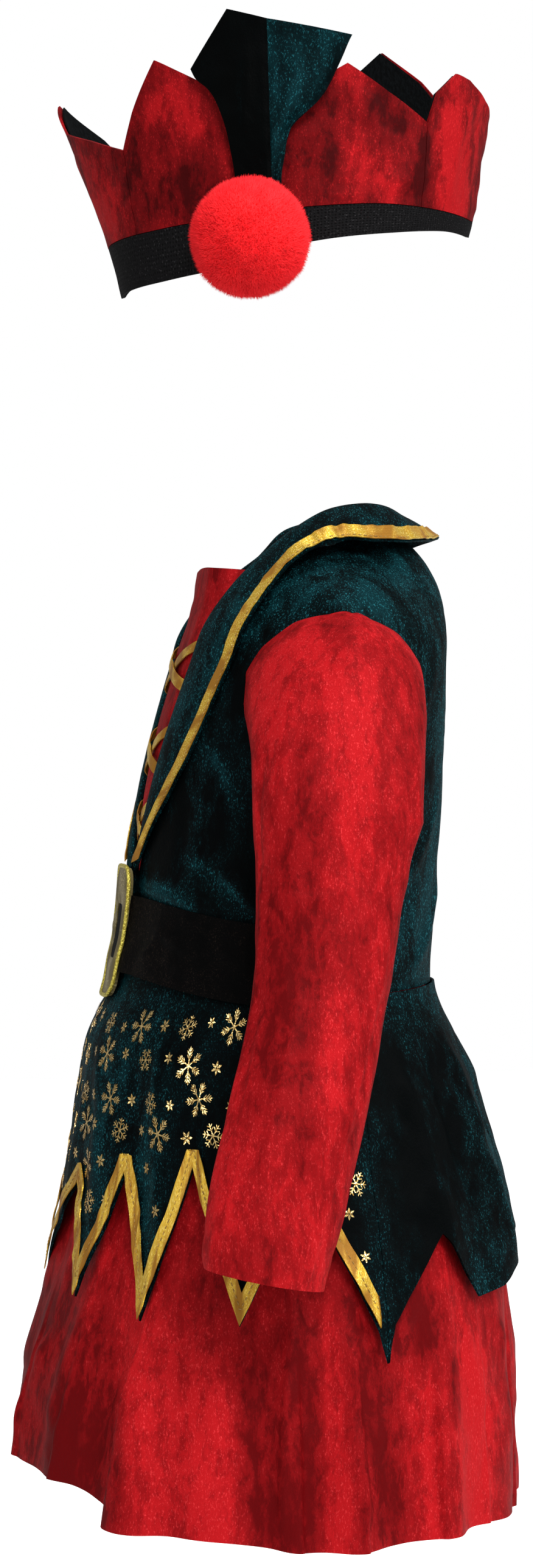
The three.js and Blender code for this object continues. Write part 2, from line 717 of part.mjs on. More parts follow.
function addSkirts() {
  const rows = [0, 0.22, 0.44, 0.62, 0.76, 0.87, 0.945, 1];
  const frontColumns = hemColumns(FRONT_HEM, 3);
  add('overskirt_front', clothWall(pointedPanel(FRONT_HEM), frontColumns, rows, VELVET), 'green');
  const backColumns = hemColumns(BACK_HEM, 4);
  add('overskirt_back', clothWall(pointedPanel(BACK_HEM), backColumns, rows, VELVET), 'green');
  const spans = HEM_LINES.lower.length - 1;
  const along = spread(HEM_RIBBON_END, spans - HEM_RIBBON_END, spans * HEM_RIBBON_STEPS);
  const turned = along.map((u, i) => (i % HEM_RIBBON_STEPS === 0 ? Math.round(u) : u));
  turned[0] = along[0];
  turned[turned.length - 1] = along[along.length - 1];
  add('overskirt_ribbon', clothWall(hemRibbonPoint, turned, [HEM_RIBBON_EDGE, 1], RIBBON), 'gold');
  const skirtRows = [0, 0.16, 0.32, 0.48, 0.64, 0.79, 0.89, 0.95, 1];
  const underskirt = clothWall(underskirtPoint, underskirtColumns(), skirtRows, VELVET, { closed: true });
  add('underskirt', underskirt, 'red');
}

// Belt over the front, from side seam to side seam, standing out where the skirt swells.
const BELT_STAND = tableOf(['v', 'out'], [
  [0, 6.8],
  [0.25, 5.8],
  [0.6, 4.5],
  [1, 4.1],
]);
const beltOut = smooth(BELT_STAND, 'v', 'out');

function beltPoint(angle, v) {
  return bodyPoint(angle, waistZ(angle) + lerp(-BELT_TUCK, BELT_HEIGHT, v), beltOut(v));
}

// Padded buckle frame: round its opening, then out from the opening to its rim.
const BUCKLE_STAND = tableOf(['z', 'out'], [
  [-204, 11.6],
  [-196, 10.1],
  [-187, 9.5],
  [-175, 8.2],
  [-160, 8.1],
  [-144, 8.6],
]);
const buckleOut = smooth(BUCKLE_STAND, 'z', 'out');

function frameRadius(turn, halfWidth, halfHeight) {
  const side = Math.abs(Math.cos(turn) / halfWidth) ** BUCKLE_CORNER_POWER;
  const end = Math.abs(Math.sin(turn) / halfHeight) ** BUCKLE_CORNER_POWER;
  return (side + end) ** (-1 / BUCKLE_CORNER_POWER);
}

function bucklePoint(turn, v) {
  const opening = frameRadius(turn, OPENING_HALF_WIDTH, OPENING_HALF_HEIGHT);
  const rim = frameRadius(turn, BUCKLE_HALF_WIDTH, BUCKLE_HALF_HEIGHT);
  const reach = lerp(opening, rim, v);
  const z = WAIST_FRONT_Z + BUCKLE_RISE - reach * Math.sin(turn);
  const out = buckleOut(z);
  const angle = Math.asin((reach * Math.cos(turn)) / (bodyHalf(z) + out)) / RAD;
  return bodyPoint(angle, z, out);
}

function addBelt() {
  const across = spread(-BELT_END, BELT_END, 24);
  add('belt', clothWall(beltPoint, across, [0, 0.25, 0.6, 1], BELT_WALL), 'black');
  const round = spread(0, 2 * Math.PI * (1 - 1 / BUCKLE_SIDES), BUCKLE_SIDES - 1);
  add('buckle', clothWall(bucklePoint, round, [0, 0.5, 1], BUCKLE_THICK, { closed: true }), 'paleGold');
}

// The hat stands on its own ring. Its angles run from its own front towards the right as seen
// from outside.
function hatPoint(turn, z, radius) {
  const angle = (HAT_FRONT + turn) * RAD;
  return new THREE.Vector3(radius * Math.sin(angle), -radius * Math.cos(angle), z);
}

// Head band: its two edges round the head, rolled under at the wearer's back left. The hat
// sits askew, so the band is lowest at the wearer's left front and rises towards the far side.
const BAND = tableOf(['turn', 'top', 'bottom', 'bottomRadius'], [
  [-180, 173, 156, 81],
  [-168, 171, 153.5, 81],
  [-138, 158.5, 140, 80.5],
  [-116, 150.5, 131, 80],
  [-98, 143, 122, 79.5],
  [-78, 136, 113.8, 77.6],
  [-40, 134.5, 112.3, 79.5],
  [-18, 135.5, 113.8, 80.5],
  [19, 140.5, 126, 80.5],
  [44, 143.5, 131.5, 80],
  [70, 144.5, 136.5, 80.4],
  [92, 146, 139, 80.6],
  [112, 155, 145.5, 80.6],
  [134, 167, 153.5, 80.6],
  [160, 174.5, 157.5, 80.8],
  [180, 173, 156, 81],
]);
const bandTop = smooth(BAND, 'turn', 'top');
const bandBottom = smooth(BAND, 'turn', 'bottom');
const bandRadius = smooth(BAND, 'turn', 'bottomRadius');
const aroundHat = (turn) => ((((turn + 180) % 360) + 360) % 360) - 180;

function bandPoint(turn, v) {
  const at = aroundHat(turn);
  const topRadius = BAND_RADIUS + crownFlare(at) * FLARE_AT_BAND;
  return hatPoint(turn, lerp(bandBottom(at), bandTop(at), v), lerp(bandRadius(at), topRadius, v));
}

// Tops of the crown's points, and how far the crown flares out at FLARE_HEIGHT over the band.
const CROWN = tableOf(['turn', 'top', 'flare'], [
  [-180, 184, 6],
  [-164, 212, 6],
  [-150, 229, 7],
  [-136, 205, 9],
  [-118, 172, 14],
  [-104, 188, 22],
  [-90, 207, 27],
  [-80, 197, 24],
  [-62, 184, 17],
  [-45, 171, 12],
  [-39, 186, 10.5],
  [-29, 206, 9],
  [-18, 197, 7],
  [-6, 187, 5.5],
  [0, 176, 5],
  [6, 182, 5.5],
  [16, 194, 7],
  [27, 204, 8],
  [40, 195, 8],
  [55, 185, 8],
  [58, 198, 8],
  [66, 207, 8],
  [75, 208, 7],
  [88, 203, 9],
  [102, 198, 10.5],
  [118, 178, 9],
  [132, 200, 7],
  [146, 219, 6],
  [161, 238, 4],
  [170, 210, 5],
  [180, 184, 6],
]);
const CROWN_PANELS = tableOf(['name', 'from', 'to'], [
  ['back_left', -180, -118],
  ['side_left', -118, -45],
  ['front_left', -45, 0],
  ['front_right', 0, 55],
  ['side_right', 55, 118],
  ['back_right', 118, 180],
]);
const CROWN_WALL = 1.5;
const LINING_WALL = 0.9;
const LINING_SHOW = 0.6;
const crownTop = straight(CROWN, 'turn', 'top');
const crownFlare = smooth(CROWN, 'turn', 'flare');

function crownPoint(turn, v, inset, lowered) {
  const at = aroundHat(turn);
  const z = lerp(bandTop(at) + SEAM, crownTop(at) - lowered, v);
  const rise = (z - bandTop(at)) / FLARE_HEIGHT + FLARE_AT_BAND;
  return hatPoint(turn, z, BAND_RADIUS + crownFlare(at) * rise - inset);
}

// Columns between two angles: the table's own rows there, each span cut in two.
function crownColumns(from, to) {
  const rows = CROWN.map((row) => row.turn).filter((turn) => turn >= from && turn <= to);
  return rows.flatMap((turn, i) => (i === 0 ? [turn] : [(rows[i - 1] + turn) / 2, turn]));
}

function addCrown() {
  const round = crownColumns(-180, 180).slice(0, -1);
  add('hat_band', clothWall(bandPoint, round, [0, 1], BAND_WALL, { closed: true }), 'black');
  const rows = [0, 0.33, 0.66, 1];
  for (const panel of CROWN_PANELS) {
    const columns = crownColumns(panel.from, panel.to);
    columns[0] += SEAM_ANGLE;
    columns[columns.length - 1] -= SEAM_ANGLE;
    const place = (turn, v) => crownPoint(turn, v, 0, 0);
    add(`crown_${panel.name}`, clothWall(place, columns, rows, CROWN_WALL), 'red');
  }
  const lining = (turn, v) => crownPoint(turn, v, CROWN_WALL + 2 * SEAM, LINING_SHOW);
  add('crown_lining', clothWall(lining, round, [0, 0.5, 1], LINING_WALL, { closed: true }), 'black');
}

// Front petal: a kite of two panels that leans out, seamed down the middle. Across is measured
// from the hat's front line; each row runs from the seam to the outer edge.
const PETAL_SEAM = 8.5;
const PETAL_BASE_Z = 141;
const PETAL_WALL = 1.8;
const PETAL_EDGE = tableOf(['v', 'seamZ', 'leftX', 'leftZ', 'rightX', 'rightZ'], [
  [0, 141, -7, 141, 13, 141],
  [0.14, 151, -7.5, 152, 12.6, 151],
  [0.28, 161, -9, 162, 14.7, 162],
  [0.42, 172, -11, 173, 17.5, 172],
  [0.58, 184, -15, 184, 30, 183.5],
  [0.72, 195, -18.5, 190, 34, 190],
  [0.86, 206, -24.5, 195.5, 39.5, 201],
  [1, 217.7, -26.5, 199.4, 44.5, 210.4],
]);
// The left panel's top edge has a second peak halfway along.
const PETAL_PEAK = { share: 0.5, z: 222.7, sharpness: 6 };
const PETAL_LEAN = 0.15;
const PETAL_CURL = 0.004;
const PETAL_DISTANCE = 84.8;
const PETAL_COLUMNS = ['seamZ', 'leftX', 'leftZ', 'rightX', 'rightZ'];
const PETAL = named(PETAL_COLUMNS, PETAL_COLUMNS.map((name) => straight(PETAL_EDGE, 'v', name)));

// A point of the petal by its place across the front and its height.
function petalSpace(x, z) {
  const forward = PETAL_DISTANCE + (z - PETAL_BASE_Z) * PETAL_LEAN - PETAL_CURL * (x - PETAL_SEAM) ** 2;
  const front = HAT_FRONT * RAD;
  return new THREE.Vector3(
    forward * Math.sin(front) + x * Math.cos(front),
    -forward * Math.cos(front) + x * Math.sin(front),
    z,
  );
}

function petalLeft(u, v) {
  const share = -u;
  const x = lerp(PETAL_SEAM, PETAL.leftX(v), share);
  const z = lerp(PETAL.seamZ(v), PETAL.leftZ(v), share);
  const edge = lerp(PETAL.seamZ(1), PETAL.leftZ(1), PETAL_PEAK.share);
  const nearPeak = Math.max(0, 1 - Math.abs(share - PETAL_PEAK.share) / PETAL_PEAK.share);
  return petalSpace(x - SEAM / 2, z + (PETAL_PEAK.z - edge) * nearPeak * v ** PETAL_PEAK.sharpness);
}

function petalRight(u, v) {
  const x = lerp(PETAL_SEAM, PETAL.rightX(v), u);
  return petalSpace(x + SEAM / 2, lerp(PETAL.seamZ(v), PETAL.rightZ(v), u));
}

function addPetal() {
  const rows = PETAL_EDGE.map((row) => row.v);
  add('front_petal_left', clothWall(petalLeft, [-1, -0.75, -0.5, -0.25, 0], rows, PETAL_WALL), 'green');
  add('front_petal_right', clothWall(petalRight, [0, 0.33, 0.67, 1], rows, PETAL_WALL), 'green');
}

// Pompom: a core whose every face grows one short three-sided lock, pressed flat at the band.
const LOCK_ROOT = 0.94;
const LOCK_TIP = 0.52;
const PRESS_TOP = 10;
const PETAL_REST = PETAL_DISTANCE + 2.2;
const BAND_REST = BAND_RADIUS + SEAM + 0.2;
const POMPOM_DETAIL = 3;

function pressedToHat(point) {
  const flat = Math.hypot(point.x, point.y);
  const least = point.z > PETAL_BASE_Z - PRESS_TOP ? PETAL_REST : BAND_REST;
  if (flat < least) {
    point.x *= least / flat;
    point.y *= least / flat;
  }
  return point;
}

function pompomGeometry() {
  const ball = new THREE.OctahedronGeometry(1, POMPOM_DETAIL).getAttribute('position');
  const centre = hatPoint(POMPOM_TURN, POMPOM_Z, POMPOM_DISTANCE);
  const place = (direction, radius) => {
    const point = direction.clone().normalize().multiplyScalar(radius);
    return pressedToHat(point.add(centre));
  };
  const positions = [];
  const triangle = (...corners) => corners.forEach((point) => positions.push(point.x, point.y, point.z));
  for (let i = 0; i < ball.count; i += 3) {
    const corners = [0, 1, 2].map((k) => new THREE.Vector3().fromBufferAttribute(ball, i + k));
    const middle = corners[0].clone().add(corners[1]).add(corners[2]).divideScalar(3);
    const core = corners.map((corner) => place(corner, POMPOM_CORE));
    const root = corners.map((corner) => place(middle.clone().lerp(corner, LOCK_ROOT), POMPOM_CORE));
    const tip = corners.map((corner) => place(middle.clone().lerp(corner, LOCK_TIP), POMPOM_RADIUS));
    for (let k = 0; k < 3; k += 1) {
      const next = (k + 1) % 3;
      triangle(core[k], core[next], root[next]);
      triangle(core[k], root[next], root[k]);
      triangle(root[k], root[next], tip[next]);
      triangle(root[k], tip[next], tip[k]);
    }
    triangle(...tip);
  }
  const geometry = new THREE.BufferGeometry();
  geometry.setAttribute('position', new THREE.Float32BufferAttribute(positions, 3));
  geometry.computeVertexNormals();
  return geometry;
}

addBodice();
addInsert();
LACES.forEach((row) => [1, -1].forEach((side) => addLace(row, side)));
addCollar();
addCollarRibbons();
addSleeves();
addSkirts();
addBelt();
addCrown();
addPetal();
add('pompom', pompomGeometry(), 'fur');

export default costume;
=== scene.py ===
# %% [markdown]
# A baby's christmas elf costume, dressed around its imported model. The real set is a velvet
# dress with a shawl collar, a belt and two skirts, and an open crown hat with a pompom, all
# filled out as if worn. Every piece here is a thin shell of cloth on the form that the packed
# model already has. The forms are short tables of sizes read as smooth curves, so a piece can
# be cut as finely as its folds ask, and still lie exactly where the model says.

# %% Load the frame
import math

import bmesh
import bpy
import numpy as np
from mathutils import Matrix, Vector


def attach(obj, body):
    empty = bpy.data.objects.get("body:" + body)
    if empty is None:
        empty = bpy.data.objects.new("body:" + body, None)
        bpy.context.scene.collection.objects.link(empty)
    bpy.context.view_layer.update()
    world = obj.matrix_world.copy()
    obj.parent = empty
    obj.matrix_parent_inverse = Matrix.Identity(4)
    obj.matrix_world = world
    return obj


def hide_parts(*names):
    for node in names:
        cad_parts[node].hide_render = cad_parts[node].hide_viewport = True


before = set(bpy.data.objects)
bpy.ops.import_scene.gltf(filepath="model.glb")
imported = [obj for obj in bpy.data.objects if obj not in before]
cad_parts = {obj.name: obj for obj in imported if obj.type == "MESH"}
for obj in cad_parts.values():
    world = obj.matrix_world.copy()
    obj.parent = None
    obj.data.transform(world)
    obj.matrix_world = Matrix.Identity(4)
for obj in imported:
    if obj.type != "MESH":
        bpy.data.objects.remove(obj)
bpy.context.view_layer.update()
MM = 0.001
print("packed nodes:", len(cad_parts))

# %% [markdown]
# The camera comes first, because it settles what shows. The costume is seen level from the
# wearer's left, turned ten degrees towards the front, from 1.4 m away. The sensor's long side
# is the picture's height, so the lens follows from the height that has to fit.

# %% Camera
CAMERA_AIM = Vector((-0.0020, -0.0115, -0.1077))
CAMERA_AZIMUTH = math.radians(80)
CAMERA_DISTANCE = 1.4
VIEW_HEIGHT = 0.7151
SENSOR = 36.0

camera_data = bpy.data.cameras.new("camera")
camera_data.sensor_width = SENSOR
camera_data.lens = SENSOR * CAMERA_DISTANCE / VIEW_HEIGHT
camera = bpy.data.objects.new("camera", camera_data)
bpy.context.scene.collection.objects.link(camera)
towards = Vector((math.sin(CAMERA_AZIMUTH), -math.cos(CAMERA_AZIMUTH), 0))
camera.location = CAMERA_AIM + towards * CAMERA_DISTANCE
camera.rotation_mode = "QUATERNION"
camera.rotation_quaternion = (-towards).to_track_quat("-Z", "Y")
bpy.context.scene.camera = camera

# %% [markdown]
# A garment's form is a few measured sections, as on a dress stand. Each table below is one
# such list, in millimetres, and a smooth curve runs through its rows. The curve never swings
# past a row, so a waist stays a waist.

# %% Tables and curves
RAD = math.pi / 180


def table(names, rows):
    """Named columns of numbers; the first column is the key."""
    return dict(zip(names.split(), np.array(rows, float).T))


def smooth(rows, column):
    """A column as a smooth function of the key."""
    keys, values = next(iter(rows.values())), rows[column]
    width = np.diff(keys)
    rise = np.diff(values) / width
    slope = np.zeros_like(values)
    slope[0], slope[-1] = rise[0], rise[-1]
    for i in range(1, len(keys) - 1):
        if rise[i - 1] * rise[i] > 0:
            slope[i] = 2 * rise[i - 1] * rise[i] / (rise[i - 1] + rise[i])

    def at(x):
        x = np.clip(x, keys[0], keys[-1])
        i = np.clip(np.searchsorted(keys, x) - 1, 0, len(keys) - 2)
        t = (x - keys[i]) / width[i]
        ease = t * t * (3 - 2 * t)
        bend = t * (1 - t) ** 2 * slope[i] + t * t * (t - 1) * slope[i + 1]
        return values[i] * (1 - ease) + values[i + 1] * ease + bend * width[i]

    return at


def straight(rows, column):
    """A column read in straight lines from row to row."""
    keys = next(iter(rows.values()))
    return lambda x: np.interp(x, keys, rows[column])


def mix(a, b, share):
    return a + (b - a) * share


def ease(x, low, high):
    """A soft step from 0 at low to 1 at high."""
    t = np.clip((x - low) / (high - low), 0, 1)
    return t * t * (3 - 2 * t)


def points(x, y, z):
    return np.stack(np.broadcast_arrays(x, y, z), axis=-1).astype(float)


# %% [markdown]
# Cloth never lies plain. Its larger folds are put in as strokes: soft ridges or
# troughs from one place on the cloth to another, each with its own width and height. The
# crush of the velvet and the pucker of a ribbon are a soft random swell, always drawn from
# the same seed.

# %% Folds and swell


def strokes(rows, s, t):
    """Sum of soft ridges. A row is s0, t0, s1, t1, width, height and bow, in millimetres."""
    total = np.zeros(np.broadcast(s, t).shape)
    for s0, t0, s1, t1, width, height, bow in rows:
        length = math.hypot(s1 - s0, t1 - t0)
        ds, dt = (s1 - s0) / length, (t1 - t0) / length
        along = ((s - s0) * ds + (t - t0) * dt) / length
        across = (s - s0) * dt - (t - t0) * ds - bow * 4 * along * (1 - along)
        taper = np.exp(-(np.clip(np.abs(along - 0.5) - 0.3, 0, None) / 0.16) ** 2)
        total += height * np.exp(-((across / width) ** 2)) * taper
    return total


def pleats(rows, s, t):
    """Sum of sharp folds. A row is s0, t0, s1, t1, rise and reach: the cloth steps up at the
    line and falls back over the reach, to the right of it or, if it is negative, to the left."""
    total = np.zeros(np.broadcast(s, t).shape)
    for s0, t0, s1, t1, rise, reach in rows:
        along = (t - t0) / (t1 - t0)
        gap = (s - s0 - (s1 - s0) * along) * np.sign(reach)
        step = 1 / (1 + np.exp(np.clip(-gap / 0.55, -40, 40)))
        fade = np.exp(-np.clip(gap, 0, None) / abs(reach))
        total += rise * step * fade * ease(along, -0.15, 0.45)
    return total


def swell(s, t, size, seed):
    """Soft random hills about one size across, from -1 to 1."""
    grid = np.random.RandomState(seed).uniform(-1, 1, (64, 64))
    a, b = np.asarray(s) / size, np.asarray(t) / size
    a, b = np.broadcast_arrays(a, b)
    i, j = np.floor(a).astype(int), np.floor(b).astype(int)
    x, y = a - i, b - j
    x, y = x * x * (3 - 2 * x), y * y * (3 - 2 * y)
    row = lambda k: mix(grid[i % 64, (j + k) % 64], grid[(i + 1) % 64, (j + k) % 64], x)
    return mix(row(0), row(1), y)


# %% [markdown]
# One function cuts every cloth piece. It is given a surface place(u, v), which runs to the
# right and up as seen from outside, and a grid to cut it on. The folds push the outer face
# along its own normal, and the inner face follows one cloth thickness behind, so that an
# open edge shows a real edge. The piece's UV map holds metres along the cloth.

# %% Cutting a cloth piece


def unit(vectors):
    return vectors / np.maximum(np.linalg.norm(vectors, axis=-1, keepdims=True), 1e-9)


def normals_of(place, u, v, step=1e-3):
    across = place(u + step, v) - place(u - step, v)
    along = place(u, v + step) - place(u, v - step)
    return unit(np.cross(across, along))


def face_of(place, relief=None):
    """The surface with its folds, as a function of the same u and v."""
    if relief is None:
        return place
    return lambda u, v: place(u, v) + normals_of(place, u, v) * relief(u, v)[..., None]


def grid_normals(grid, closed):
    if closed:
        wide = np.concatenate([grid[:, -2:], grid, grid[:, :2]], axis=1)
        across = np.gradient(wide, axis=1)[:, 2:-2]
    else:
        across = np.gradient(grid, axis=1)
    return unit(np.cross(across, np.gradient(grid, axis=0)))


def mesh_object(name, vertices, faces, uv=None):
    mesh = bpy.data.meshes.new(name)
    mesh.from_pydata((np.asarray(vertices) * MM).tolist(), [], np.asarray(faces).tolist())
    if uv is not None:
        layer = mesh.uv_layers.new(name="cloth")
        loops = np.zeros(len(mesh.loops), int)
        mesh.loops.foreach_get("vertex_index", loops)
        layer.data.foreach_set("uv", (uv[loops] * MM).astype(np.float32).ravel())
    mesh.polygons.foreach_set("use_smooth", [True] * len(mesh.polygons))
    mesh.validate()
    piece = bpy.data.objects.new(name, mesh)
    bpy.context.scene.collection.objects.link(piece)
    return piece


def shell(outer, inner, closed):
    """Faces of a wall between two grids of points."""
    rows, columns = outer.shape[:2]
    count = rows * columns
    index = np.arange(count).reshape(rows, columns)
    if closed:
        index = np.concatenate([index, index[:, :1]], axis=1)
    a, b, c, d = index[:-1, :-1], index[:-1, 1:], index[1:, 1:], index[1:, :-1]
    quads = [np.stack([a, b, c, d], -1), np.stack([a, d, c, b], -1) + count]
    low, high = index[0], index[-1]
    quads.append(np.stack([low[:-1], low[:-1] + count, low[1:] + count, low[1:]], -1))
    quads.append(np.stack([high[:-1], high[1:], high[1:] + count, high[:-1] + count], -1))
    if not closed:
        left, right = index[:, 0], index[:, -1]
        quads.append(np.stack([left[:-1], left[1:], left[1:] + count, left[:-1] + count], -1))
        quads.append(np.stack([right[:-1], right[:-1] + count, right[1:] + count, right[1:]], -1))
    vertices = np.concatenate([outer.reshape(-1, 3), inner.reshape(-1, 3)])
    return vertices, np.concatenate([q.reshape(-1, 4) for q in quads])


def cloth_uv(grid):
    """Metres along and up the cloth, from its middle row and middle column."""
    rows, columns = grid.shape[:2]
    right = np.linalg.norm(np.diff(grid[rows // 2], axis=0), axis=-1)
    up = np.linalg.norm(np.diff(grid[:, columns // 2], axis=0), axis=-1)
    s = np.concatenate([[0], np.cumsum(right)])
    t = np.concatenate([[0], np.cumsum(up)])
    flat = np.stack(np.meshgrid(s, t), -1).reshape(-1, 2)
    return np.concatenate([flat, flat])


def cut(name, place, us, vs, wall, relief=None, closed=False):
    """A cloth piece with its outer face on the surface."""
    u, v = np.meshgrid(us, vs)
    outer = face_of(place, relief)(u, v)
    inner = outer - grid_normals(outer, closed) * wall
    vertices, faces = shell(outer, inner, closed)
    piece = mesh_object(name, vertices, faces, cloth_uv(outer))
    piece.data.set_sharp_from_angle(angle=math.radians(50))
    return piece


def mirrored(place):
    """The same surface on the wearer's right."""
    return lambda u, v: place(-u, v) * np.array([-1, 1, 1])


def between(low, high, count):
    return np.linspace(low, high, count)


def ring(count, turn=1.0):
    """Even steps round a closed piece, without the last one."""
    return np.linspace(0, turn, count, endpoint=False)


# %% [markdown]
# The bodice is cut on a stand: a half width, a reach to the front and one to the back for
# each height, joined by ellipses. Angles run from the front centre towards the wearer's
# left. Over the shoulders the surface turns in to a ridge, where the shoulder seam lies.

# %% The dress stand
SEAM = 0.3
VELVET = 1.5
SEAM_ANGLE = 0.1
WAIST_Z = -187
SIDE_WAIST_DROP = 12
BACK_WAIST_RISE = 3
HEM_Z = -425
RIDGE_Y = 8
NECK_X = 50
NECK_Z = -5
NAPE_RISE = 25
SHOULDER_SLOPE = 0.56
SHOULDER_TIP = 80
SHOULDER_ROUND = 45
BODICE_OUT = 2.0
BODY = table("z half front back mid", [
    [-215, 88, 77.6, 60, -12], [-196, 87.8, 75.2, 59.7, -12], [-170, 87.7, 72.4, 61, -9],
    [-148, 88.5, 70.2, 62.5, -6], [-125, 90.5, 67.2, 64, -3], [-96, 92.5, 61.6, 65, 0],
    [-80, 94, 57.7, 65.5, 2], [-63, 95, 52.8, 66, 4], [-48, 96, 49, 66, 6],
    [-31, 97, 44.7, 65, 8], [-8, 97, 41.5, 62.5, 8], [20, 97, 38, 56.5, 8],
])
body_half, body_front, body_back, body_mid = (
    smooth(BODY, name) for name in ("half", "front", "back", "mid"))


def waist_z(angle):
    """The waist seam's height: it drops from the middle of the front to both side seams."""
    side = np.sin(angle * RAD) ** 2
    back = BACK_WAIST_RISE * (1 - side) - SIDE_WAIST_DROP
    return WAIST_Z + np.where(np.cos(angle * RAD) < 0, back, -SIDE_WAIST_DROP * side)


def body_point(angle, z, out):
    mid, facing = body_mid(z), np.cos(angle * RAD)
    depth = np.where(facing > 0, body_front(z) + mid, body_back(z) - mid) + out
    return points((body_half(z) + out) * np.sin(angle * RAD), mid - depth * facing, z)


def ridge_z(angle):
    """The shoulder seam's height: it slopes away from the neck and rounds off at the tip."""
    x = np.abs(body_half(NECK_Z) * np.sin(angle * RAD))
    rise = np.where(np.cos(angle * RAD) < 0, NAPE_RISE * (1 - (x / NECK_X) ** 2), 0)
    tip = np.maximum(0, x - SHOULDER_TIP) ** 2 * 0.028
    return np.where(x > NECK_X, NECK_Z - (x - NECK_X) * SHOULDER_SLOPE - tip, NECK_Z + rise)


def bodice_point(angle, level, out):
    """Level 0 is the waist seam, 1 where the shoulder starts to round, 2 the ridge."""
    top = ridge_z(angle)
    turn = (2 - np.maximum(level, 1)) * math.pi / 2
    low = mix(waist_z(angle), top - SHOULDER_ROUND, level)
    z = np.where(level <= 1, low, top - SHOULDER_ROUND * (1 - np.cos(turn)))
    point = body_point(angle, z, out)
    point[..., 1] = RIDGE_Y + (point[..., 1] - RIDGE_Y) * np.sin(turn)
    point[..., 2] += out * np.cos(turn)
    return point


EDGES = table("level v front back", [
    [0, 0.2, 90, 90], [0.24, 0.4, 90, 90], [0.3, 6, 90, 90], [0.55, 11, 90, 90],
    [0.7, 14.5, 90, 90], [0.75, 15.5, 74, 77], [0.82, 17, 61, 66], [0.92, 19, 52, 59],
    [1.04, 21, 49.5, 57.5], [1.22, 23.5, 52.5, 59], [1.45, 26.5, 60, 65],
    [1.67, 29, 71, 74], [2, 31.2, 82, 82],
])
v_edge = smooth(EDGES, "v")
arm_front, arm_back = straight(EDGES, "front"), straight(EDGES, "back")

# %% [markdown]
# The materials are built before the pieces, because the last step of a repeated piece sets
# its own. Crushed velvet is the main cloth here. Its pile was pressed flat in patches that
# lean different ways, so it is bright and dark by turns, and single fibres glint: they are
# metal flecks, also painted lighter. One noise gives the patches, a longer one the way the
# pile leans, and a very fine one its fibres. The group puts out masks and a height, and each
# velvet colours them. Painted light and shade come from the piece, as a value at each vertex.

# %% Node helpers


def material(name):
    made = bpy.data.materials.new(name)
    made.use_nodes = True
    shader = made.node_tree.nodes["Principled BSDF"]
    return made, made.node_tree, shader


def node(tree, kind, **settings):
    made = tree.nodes.new(kind)
    for key, value in settings.items():
        if key in made.bl_rna.properties:
            setattr(made, key, value)
        else:
            made.inputs[key.replace("_", " ")].default_value = value
    return made


def noise(tree, vector, scale, detail=3.0, roughness=0.55):
    made = node(tree, "ShaderNodeTexNoise", Scale=scale, Detail=detail, Roughness=roughness)
    tree.links.new(vector, made.inputs["Vector"])
    return made.outputs["Fac"]


def spread(tree, value, low, high, out_low=0.0, out_high=1.0):
    """A value between two limits, drawn out to two others."""
    made = node(tree, "ShaderNodeMapRange", interpolation_type="SMOOTHSTEP")
    made.inputs["From Min"].default_value = low
    made.inputs["From Max"].default_value = high
    made.inputs["To Min"].default_value = out_low
    made.inputs["To Max"].default_value = out_high
    tree.links.new(value, made.inputs["Value"])
    return made.outputs["Result"]


def maths(tree, operation, a, b):
    made = node(tree, "ShaderNodeMath", operation=operation)
    for socket, value in zip(made.inputs, (a, b)):
        if isinstance(value, (int, float)):
            socket.default_value = value
        else:
            tree.links.new(value, socket)
    return made.outputs[0]


def blend(tree, share, a, b):
    """Two colours mixed by a mask; each is a colour or a socket."""
    made = node(tree, "ShaderNodeMix", data_type="RGBA")
    tree.links.new(share, made.inputs[0])
    for socket, value in zip((made.inputs[6], made.inputs[7]), (a, b)):
        if isinstance(value, tuple):
            socket.default_value = (*value, 1)
        else:
            tree.links.new(value, socket)
    return made.outputs[2]


def new_group(name, inputs, outputs):
    tree = bpy.data.node_groups.new(name, "ShaderNodeTree")
    for title, kind in inputs:
        tree.interface.new_socket(title, in_out="INPUT", socket_type=f"NodeSocket{kind}")
    for title, kind in outputs:
        tree.interface.new_socket(title, in_out="OUTPUT", socket_type=f"NodeSocket{kind}")
    return tree, tree.nodes.new("NodeGroupInput"), tree.nodes.new("NodeGroupOutput")


def use(tree, group, vector, **values):
    made = node(tree, "ShaderNodeGroup", node_tree=group)
    tree.links.new(vector, made.inputs["Vector"])
    for title, value in values.items():
        made.inputs[title.replace("_", " ")].default_value = value
    return made


# %% The crush of velvet
crush_group, given, result = new_group(
    "velvet crush",
    [("Vector", "Vector"), ("Patch", "Float"), ("Stretch", "Float"), ("Pile", "Float")],
    [("Crush", "Float"), ("Lean", "Float"), ("Fleck", "Float"), ("Height", "Float")])
links = crush_group.links
squeeze = node(crush_group, "ShaderNodeCombineXYZ", X=1.0, Y=1.0)
links.new(given.outputs["Stretch"], squeeze.inputs["Z"])
scaled = node(crush_group, "ShaderNodeVectorMath", operation="MULTIPLY")
links.new(given.outputs["Vector"], scaled.inputs[0])
links.new(squeeze.outputs[0], scaled.inputs[1])
patch_noise = noise(crush_group, scaled.outputs[0], 1.0, 6.0, 0.74)
links.new(given.outputs["Patch"], patch_noise.node.inputs["Scale"])
patch_noise.node.inputs["Distortion"].default_value = 0.25
long = node(crush_group, "ShaderNodeVectorMath", operation="MULTIPLY")
long.inputs[1].default_value = (1, 1, 0.45)
links.new(scaled.outputs[0], long.inputs[0])
lean_noise = noise(crush_group, long.outputs[0], 38.0, 4.0, 0.6)
lean_noise.node.inputs["Distortion"].default_value = 0.15
pile_noise = noise(crush_group, scaled.outputs[0], 1.0, 2.0, 0.7)
links.new(given.outputs["Pile"], pile_noise.node.inputs["Scale"])
